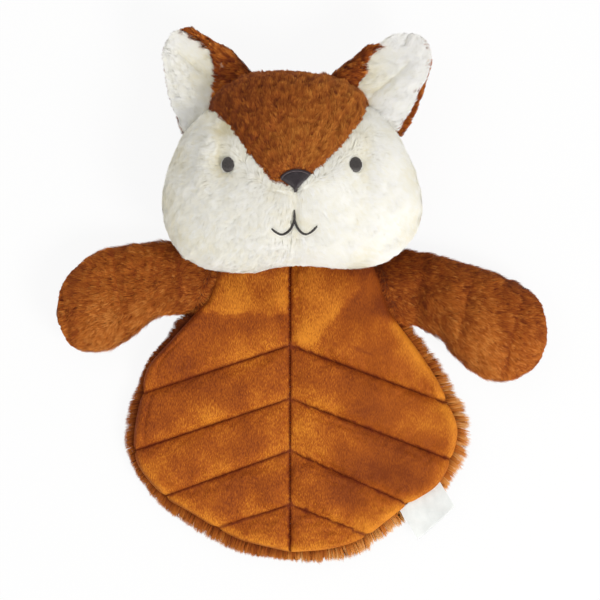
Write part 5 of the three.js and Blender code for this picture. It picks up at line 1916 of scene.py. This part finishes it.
        # Painted light on the right rim and the lower left rim, painted shadow of the right arm on the rim
        # below it and by the left armpit, and painted shade in the soft line along the left edge.
        brushed += (0.4 - 0.75 * under_arm) * bell(right, 0.0045 + 0.003 * under_arm)
        brushed += (0.36 * low - 0.06) * bell(left, 0.0045)
        brushed -= 0.3 * smoothstep(0.06, 0.035, down) * bell(left, 0.010)
        brushed -= 0.1 * self.tuck(Side.LEFT, left, y)
        dart = segment_distance(x, y, *(NECK[:2] + np.array(CHEST_DART)))
        seam = np.maximum(bell(distance, 0.00085), 0.55 * bell(dart, 0.0007))
        seam = np.maximum(seam, 0.6 * bell(left, 0.0009)) * 0.92
        rough = 1.3 - 0.55 * smoothstep(0.01, 0.05, x - NECK[0])
        # The brushed attribute carries painted light and painted shade along with the nap's own spots.
        for name, value in {"brushed": brushed, "seam": seam, "rough": rough}.items():
            shade = mesh.attributes.new(name, "FLOAT", "POINT").data
            shade.foreach_set("value", value.astype(np.float32))

    def bands(self, x: Array, y: Array) -> tuple[Array, Array]:
        """Distance from places to the nearest slanting seams.

        Args:
            x: Places across.
            y: Places up.

        Returns:
            The distance up to the seam above and down to the seam below, 1 where there is none.
        """
        above, below = np.full(np.shape(x), 1.0), np.full(np.shape(x), 1.0)
        for start, end in self.seams()[1:]:
            mine = (x - NECK[0]) * (end[0] - start[0]) >= 0
            height = y - (start[1] + (x - start[0]) * (end[1] - start[1]) / (end[0] - start[0]))
            above = np.where(mine & (height < 0), np.minimum(above, -height), above)
            below = np.where(mine & (height >= 0), np.minimum(below, height), below)
        return above, below

    def back_shape(self, inset: float, low: float, high: float, square: float) -> Shape:
        """Shape of a flat layer from a unit sphere.

        Args:
            inset: How far it is drawn in from the velour's edge.
            low: Its underside.
            high: Its upper side.
            square: Roundness of its rim, larger for squarer.

        Returns:
            A function that maps the unit sphere to the layer.
        """
        outline = self.outline(inset)

        def shape(sphere: Array) -> Array:
            """Flatten the sphere to the outline."""
            x, y = outline.fitted(sphere, 2 / square)
            z = (low + high) / 2 + swollen(sphere[:, 2], 2 / square) * (high - low) / 2
            ceiling = self.head.under(x, y, self.head_grow) - self.head_gap
            return np.column_stack([x, y, np.minimum(z, np.maximum(ceiling, low + 0.0004))])
        return shape

    def reach(self, places: Array) -> Array:
        """How far the fringe stands out from the velour.

        Args:
            places: Places of its roots.

        Returns:
            A length for each place.
        """
        down = NECK[1] - places[:, 1]
        left, right = (np.interp(down, *(np.array(FRINGE_REACH_MM[side]).T * MM)) for side in Side)
        return np.where(places[:, 0] < NECK[0], left, right)

    def fringe_painted_light_and_shade(self, places: Array) -> Array:
        """Shade of the fringe, as painted light and shade: dark in painted shade at the upper left and by the
        right arm, light at the lower right where the lamp falls.

        Args:
            places: Places of its roots.

        Returns:
            A shade for each place.
        """
        x, down = places[:, 0] - NECK[0], NECK[1] - places[:, 1]
        shade = 0.3 + 0.42 * smoothstep(-0.03, 0.05, x) + 0.14 * smoothstep(0.1, 0.15, down)
        return shade - 0.28 * smoothstep(0.075, 0.045, down)

    def fringe_nap(self, roots: Array, normals: Array) -> Array:
        """Direction of the fringe: straight out from the middle of the body."""
        return normals * (1, 1, 0) + (0, -0.4, -0.3)

    def has_fringe(self, roots: Array, side: Side) -> Array:
        """Which places grow one side's fringe: those below the neck and clear of the label."""
        own = (roots[:, 1] < NECK[1] - self.cuff) & ((roots[:, 0] > NECK[0]) == (side is Side.RIGHT))
        return own & (np.linalg.norm(roots[:, :2] - self.tag, axis=1) > self.bare_by_label)

    def trimmed(self, points: Array, ring: Array, give: float) -> Array:
        """Fringe kept to its reach, and below the velour and the label.

        Args:
            points: Points of the fringe.
            ring: The edge that it is trimmed to.
            give: How far past it the tips may stand.

        Returns:
            The points trimmed.
        """
        by_tag = smoothstep(0.022, 0.017, np.linalg.norm(points[:, :2] - self.tag, axis=1))
        high = np.minimum(points[:, 2], self.front_base - 0.0002 - 0.0034 * by_tag)
        return held(np.column_stack([points[:, :2], high]), ring, give)

    def build(self, finishes: Finishes) -> None:
        """Build the back and its pile and fringe, the wadding, the strips and their stitches.

        Args:
            finishes: The materials.
        """
        self.build_back(finishes)
        top = self.wadding_base + self.wadding_thickness
        shape = self.back_shape(self.wadding_inset, self.wadding_base, top, 8)
        wadding = finished("wadding_sheet", mould(ball(96, 20), shape), [finishes.fibre], ALL_SOFT)
        place(wadding, "body", "fibre_fill", ["body_wadding"], 0.3)
        for side in Side:
            for strip, name in enumerate(STRIP_NAMES):
                bm = mould(block(90, 40 if strip else 74), self.strip_shape(side, strip))
                piece = finished(f"{name}_{side.value}_velour", bm, [finishes.velour] * 2, 70)
                self.shade_skin(piece)
                place(piece, "body", "velour", [f"{name}_{side.value}"], 0.45)
        stitches = thread("seam_stitches", self.stitches(), self.thread_radius, finishes.seam_thread)
        place(stitches, "body", "velour")

    def build_back(self, finishes: Finishes) -> None:
        """Build the plush back, the pile under it and the fringe round it.

        Args:
            finishes: The materials.
        """
        bm = mould(ball(180, 60), self.back_shape(0.0015, 0.0022, self.back_thickness, 5))
        below = Surface.of(bm, lambda face: face.normal.z < -0.3)
        around = Surface.of(bm, lambda face: abs(face.normal.z) < 0.9)
        back = finished("body_back_cloth", bm, [finishes.rust_cloth], ALL_SOFT)
        place(back, "body", "rust_plush", ["body_back_panel"])
        pelt = grow("body_back_pile", below, BODY_BACK_PILE, steady(0.0, -1.0, 0.0), finishes.rust)
        place(pelt, "body", "rust_plush")
        ring = self.outline(0).points
        ring = ring + outwards(ring) * self.reach(ring)[:, None]
        for side, (pile, give) in FRINGE_PILES.items():
            pelt = grow(f"fringe_{side.value}_pile", around, pile, self.fringe_nap, finishes.fringe,
                        self.fringe_painted_light_and_shade, lambda p: self.has_fringe(p, side),
                        lambda p: (self.reach(p) + self.fringe_root) / pile.length,
                        lambda p: self.trimmed(p, ring, give))
            place(pelt, "body", "rust_plush")

    def stitches(self) -> list[Array]:
        """Machine stitches along every seam, each dipping at its ends.

        Returns:
            The points of each stitch.
        """
        lines = []
        for start, end in self.seams():
            length = float(np.linalg.norm(end - start))
            for at in np.arange(0.001, length - self.stitch, self.stitch + self.stitch_gap):
                share = np.linspace(at, at + self.stitch, 5)[:, None] / length
                spot = start + (end - start) * share
                dip = 0.0004 * np.linspace(-1, 1, 5) ** 2
                high = self.front_base + self.seam_height - self.thread_radius - dip
                cover = self.head.under(spot[:, 0], spot[:, 1], self.head_grow) - 0.001
                lines.append(np.column_stack([spot, np.minimum(high, cover)]))
        return lines


@dataclass
class Arm:
    """One stuffed arm: a front and a back half with pile, and its fibre fill."""

    head: Head
    body: Body
    side: Side
    length: float = 0.085
    width: float = 0.0575
    thickness: float = 0.032
    rest: float = 0.0005
    pile_height: float = 0.003
    cloth: float = 0.0012
    fibre_gap: float = 0.003
    exponent: float = 2.1
    root_reach: float = 0.014
    root_overlap: float = 0.0022
    trimmed_left: float = 0.976
    give: float = 0.0005
    bend_start: float = 0.006
    bend_length: float = 0.016

    def __post_init__(self) -> None:
        """Work out the rows and the folds."""
        left = self.side is Side.LEFT
        self.lower_drop, self.bulge = (0.0009, 0.0044) if left else (0.0019, 0.0038)
        self.folds = ARM_FOLDS[self.side]
        shoulder = self.body.on(self.side, SHOULDER_SHARES[self.side])
        self.root = shoulder.mean(axis=0)
        line = unit(shoulder[0] - shoulder[1])
        self.out = np.array([line[1], -line[0]]) * self.side.sign
        rows = ARM_ROW_SHARES[self.side]
        size = np.array([self.side.sign * self.length, self.width])
        self.upper, self.lower = (self.root + np.array([row[k] for row in rows]) * size for k in (0, 1))
        self.lower[:, 1] -= self.lower_drop
        self.thick = np.array([[row[2]] for row in rows]) * self.thickness
        self.paw = (self.upper[-3] + self.lower[-3]) / 2
        share = np.linspace(0, 1, 70)
        inwards = self.out * self.root_reach
        root = [self.lower[0], self.lower[0] - inwards, self.upper[0] - inwards, self.upper[0]]
        inner = [a + (b - a) * np.linspace(0.05, 0.95, 12)[:, None] for a, b in zip(root[:-1], root[1:])]
        self.ring = np.concatenate([spline(self.upper, share), spline(self.lower, share[::-1]), *inner])
        if left:
            self.ring = self.root + (self.ring - self.root) * (self.trimmed_left, 1)
        self.upper[0] -= self.out * self.root_overlap
        self.lower[0] -= self.out * self.root_overlap

    def shape(self, shrink: float, rings: int) -> Shape:
        """Shape of the arm from a unit sphere whose poles are the shoulder and the paw.

        Args:
            shrink: How far it is drawn in all round.
            rings: Number of the sphere's rings.

        Returns:
            A function that maps the unit sphere to the arm.
        """
        def shape(sphere: Array) -> Array:
            """Rings between the edges, folded and kept out of the head."""
            step = np.arccos(np.clip(sphere[:, 2], -1, 1)) / math.pi * rings
            share = np.clip((step - 1) / (rings - 2), 0, 1)
            pole = np.clip(np.minimum(step, rings - step), 0, 1)
            upper, lower = spline(self.upper, share), spline(self.lower, share)
            full = spline(self.thick, share)[:, 0]
            drawn = shrink * smoothstep(-0.1, 0.16, share)
            half = np.maximum(np.linalg.norm(upper - lower, axis=1) / 2 - drawn, 0.0003) * pole
            rise = np.maximum(full / 2 - drawn, 0.0003) * pole
            angle = np.arctan2(sphere[:, 1], sphere[:, 0])
            c, s = np.cos(angle), np.sin(angle)
            out, up = half * swollen(c, 2 / self.exponent), rise * swollen(s, 2 / self.exponent)
            fold = sum(deep * bell(share - at - 0.03 * c, 0.022) for at, deep in self.folds)
            bulge = self.bulge * smoothstep(0.16, 0, share) * (1 - c ** 4)
            spot = (upper + lower) / 2 + unit(upper - lower) * out[:, None] - np.outer(bulge, self.out)
            z = self.fattest(share) / 2 - self.rest + up - fold * np.clip(s, 0, 1) * pole
            z = z + 0.0005 * waves(np.column_stack([spot, z]), 0.022, 70) * np.clip(s, 0, 1)
            return self.tucked(np.column_stack([spot, np.maximum(z, 0.0012)]), 0.001)
        return shape

    def fattest(self, share: Array) -> Array:
        """Thickest that the arm gets up to each share of the way out, which its middle line rises with.

        Args:
            share: Shares of the way from the shoulder to the paw.

        Returns:
            A thickness for each share.
        """
        steps, number = np.unique(np.round(share, 5), return_inverse=True)
        return np.array([spline(self.thick, np.linspace(0, s, 24))[:, 0].max() for s in steps])[number]

    def tucked(self, points: Array, gap: float) -> Array:
        """Keep points under the head's overhang.

        Args:
            points: The points.
            gap: Least distance below the head.

        Returns:
            The points, lowered where they must be.
        """
        ceiling = self.head.under(points[:, 0], points[:, 1], gap) - gap
        high = np.minimum(points[:, 2], np.maximum(ceiling, 0.002))
        return np.column_stack([points[:, :2], high])

    def brushed(self, roots: Array, normals: Array) -> Array:
        """Direction of the nap: along the arm to the paw and round its end.

        Args:
            roots: Places on the arm.
            normals: Its normals there.

        Returns:
            A direction for each place.
        """
        way = np.zeros_like(roots)
        way[:, :2] = unit(self.paw - self.root) + 0.35 * unit(roots[:, :2] - self.paw)
        inner = smoothstep(0.004, -0.001, (roots[:, :2] - self.root) @ self.out)[:, None]
        way[:, :2] = way[:, :2] * (1 - inner) - self.out * inner
        return way

    def pile_length(self, roots: Array) -> Array:
        """Length of the pile, which is shorter at the shoulder."""
        return 0.6 + 0.4 * smoothstep(0, 0.014, (roots[:, :2] - self.root) @ self.out)

    def shade(self, places: Array) -> Array:
        """Shade of the pile: darker at the shoulder, with painted shade in the folds and at the right arm's
        root, painted light along the lower edge, and lighter on the left arm.

        Args:
            places: Places on the arm.

        Returns:
            A shade for each place.
        """
        out = (places[:, 0] - self.root[0]) * self.side.sign / self.length
        low = (self.root[1] - places[:, 1]) / self.width
        # Painted shade in the folds across the arm and painted light along its lower edge.
        fold = sum(bell(out - at - 0.05, 0.03) for at, _ in self.folds)
        level = 0.4 + 0.1 * smoothstep(0, 0.5, out) + 0.3 * smoothstep(-0.3, 0.7, low) - 0.12 * fold
        level = level - 0.17 * smoothstep(0.6, 0.85, out)
        if self.side is Side.LEFT:
            return level + 0.08
        # Painted shade where the right arm's root tucks in against the body.
        inner = (places[:, :2] - self.root) @ self.out
        return level + (-0.02 - 0.3 * smoothstep(0.004, -0.002, inner))

    def build(self, finishes: Finishes) -> None:
        """Build both halves, their pile and the fill.

        Args:
            finishes: The materials.
        """
        side, body, rings = self.side.value, f"arm_{self.side.value}", 64
        root = Vector((*self.root, self.bend_start))
        bend = (root, root + Vector((*self.out, 0)) * self.bend_length)
        for half, pile in (("front", ARM_FRONT_PILE), ("back", ARM_BACK_PILE)):
            bm = mould(ball(72, rings), self.shape(self.pile_height, rings))
            lost = [face for face in bm.faces if (face.normal.z > 0) != (half == "front")]
            bmesh.ops.delete(bm, geom=lost, context="FACES")
            surface = Surface.of(bm, lambda face: True)
            skin = finished(f"arm_{side}_{half}_cloth", bm, [finishes.rust_cloth], ALL_SOFT)
            place(thicken(skin, self.cloth), body, "rust_plush", [f"arm_{side}_{half}"], 0.7, bend)
            pile = replace(pile, seed=pile.seed + 2 * (self.side is Side.RIGHT))
            pelt = grow(f"arm_{side}_{half}_pile", surface, pile, self.brushed, finishes.rust, self.shade,
                        scale=self.pile_length,
                        tidy=lambda p: self.tucked(held(p, self.ring, self.give), 0.0004))
            place(pelt, body, "rust_plush", bend=bend)
        fill = mould(ball(32, 24), self.shape(self.pile_height + self.fibre_gap, 24))
        fill = finished(f"arm_{side}_fibre_fill", fill, [finishes.fibre])
        place(fill, body, "fibre_fill", [f"arm_{side}_stuffing"], 0.7, bend)


@dataclass
class Label:
    """A folded satin ribbon sewn into the lower right seam, left bare."""

    body: Body
    width: float = 0.027
    length: float = 0.0145
    tucked: float = 0.005
    askew: float = -0.2
    ribbon: float = 0.00035
    fold: float = 0.0009
    out_of_seam: float = 0.0032
    aside: float = 0.001
    height: float = 0.0082

    def shape(self, cell: Array) -> Array:
        """Map a unit block to the ribbon: out along its lower layer, round the fold and back.

        Args:
            cell: Points of the unit block.

        Returns:
            The places on the ribbon.
        """
        s, wide, depth = cell.T
        flat = self.length + self.tucked - self.fold
        out = np.where(s > 0.55, (1 - s) / 0.45 * flat, flat)
        out = np.where(s < 0.45, s / 0.45 * flat, out) - self.tucked
        bend = np.clip((s - 0.45) / 0.1, 0, 1) * math.pi
        radius = self.fold - depth * self.ribbon
        out = out + radius * np.sin(bend)
        up = -radius * np.cos(bend)
        fine = spline(self.body.edge(Side.RIGHT), np.linspace(0, 1, 600))
        near = int(np.argmin(np.linalg.norm(fine - self.body.tag, axis=1)))
        along = unit(fine[near + 12] - fine[near - 12])
        away = np.array([-along[1], along[0]])
        along = along - away * self.askew
        spot = fine[near] + away * self.out_of_seam - along * self.aside
        spot = spot + np.outer((wide - 0.5) * self.width, along) + np.outer(out, away)
        loose = np.clip(out / self.length, 0, 1)
        curl = (0.0009 * np.sin(wide * 5.2 + 0.7) + 0.0005 * np.sin(wide * 13 + out * 300)) * loose
        return np.column_stack([spot, self.height + up + curl])

    def build(self, finishes: Finishes) -> None:
        """Build the ribbon with its own map along and across.

        Args:
            finishes: The materials.
        """
        bm = block(60, 36)
        layer = bm.loops.layers.uv.new("Ribbon")
        for face in bm.faces:
            for loop in face.loops:
                loop[layer].uv = loop.vert.co.xy
        piece = finished("satin_label", mould(bm, self.shape), [finishes.ribbon] * 2, 50)
        place(piece, "label", "satin_ribbon", ["label"])


@dataclass
class Studio:
    """Camera over the toy, plain pale floor and soft lights."""

    height: float = 1.5
    over: tuple[float, float] = (-0.00054, -0.00294)
    half_view: float = 0.165
    at_height: float = 0.02
    sky_strength: float = 0.6
    floor_white: float = 0.9

    def build(self) -> None:
        """Make the camera, floor, world and lights."""
        scene = bpy.context.scene
        scene.view_settings.view_transform = "Standard"
        lens = bpy.data.cameras.new("camera")
        lens.angle = 2 * math.atan(self.half_view / (self.height - self.at_height))
        scene.camera = linked("camera", lens)
        scene.camera.location = (*self.over, self.height)
        self.floor()
        self.sky()
        self.lamp("key", (0.82, -0.7, 1.15), 0.6, 13.5, (1.0, 0.98, 0.945))
        self.lamp("fill", (-0.9, 0.6, 1.2), 1.2, 3.2, (1.0, 0.99, 0.97))

    def sky(self) -> None:
        """Make the soft white light from all round, which shows as full white behind the toy."""
        world = bpy.data.worlds.new("studio")
        bpy.context.scene.world = world
        world.use_nodes = True
        nodes, sky = Nodes(world.node_tree), world.node_tree.nodes["Background"]
        rest = 1 - self.sky_strength
        strength = nodes.math("ADD", nodes.math("MULTIPLY", self.seen(nodes), rest), self.sky_strength)
        nodes.give(sky, {"Color": (1.0, 1.0, 1.0, 1.0), "Strength": strength})

    def floor(self) -> None:
        """Make the floor, which the camera sees as white with the toy's soft shadow."""
        bm = bmesh.new()
        bmesh.ops.create_grid(bm, x_segments=1, y_segments=1, size=3)
        finished("floor", bm, [self.floor_material()])

    def floor_material(self) -> Material:
        """Pale floor that is white to the camera and in reflections, but keeps a soft shadow.

        Returns:
            The material.
        """
        material, nodes, shader = new_material("pale floor")
        nodes.give(shader, {"Base Color": (0.9, 0.9, 0.9, 1), "Roughness": 0.9})
        share = nodes.math("MULTIPLY", self.seen(nodes), self.floor_white)
        white = nodes.add("ShaderNodeEmission", {"Color": (1, 1, 1, 1), "Strength": 1.0})
        mixed = nodes.add("ShaderNodeMixShader", {0: share, 1: shader.outputs[0], 2: white.outputs[0]})
        nodes.give(nodes.tree.nodes["Material Output"], {"Surface": mixed.outputs[0]})
        return material

    def seen(self, nodes: Nodes) -> Socket:
        """The rays that see the background: the camera's, reflected and transmitted ones.

        Args:
            nodes: Where the nodes go.

        Returns:
            A socket that is 1 for those rays.
        """
        path = nodes.add("ShaderNodeLightPath")
        seen = nodes.math("MAXIMUM", path.outputs["Is Camera Ray"], path.outputs["Is Glossy Ray"])
        return nodes.math("MAXIMUM", seen, path.outputs["Is Transmission Ray"])

    def lamp(self, name: str, spot: tuple, size: float, power: float, tone: tuple) -> None:
        """Add a square lamp that faces the toy.

        Args:
            name: Its name.
            spot: Where it stands.
            size: Length of its sides.
            power: Its power in watts.
            tone: Its colour.
        """
        light = bpy.data.lights.new(name, "AREA")
        light.size, light.energy, light.color = size, power, tone
        lamp = linked(name, light)
        lamp.location = spot
        lamp.rotation_euler = (-Vector(spot)).to_track_quat("-Z", "Y").to_euler()


def main() -> None:
    """Build the toy piece by piece, then its studio."""
    logging.basicConfig(level=logging.INFO, format="%(name)s: %(message)s")
    finishes = Finishes()
    head = Head()
    face = Face(head)
    head.build(finishes, face)
    face.build(finishes)
    body = Body(head)
    body.build(finishes)
    for side in Side:
        Ear(head, side).build(finishes)
        Arm(head, body, side).build(finishes)
    Label(body).build(finishes)
    Studio().build()


if __name__ == "__main__":
    main()
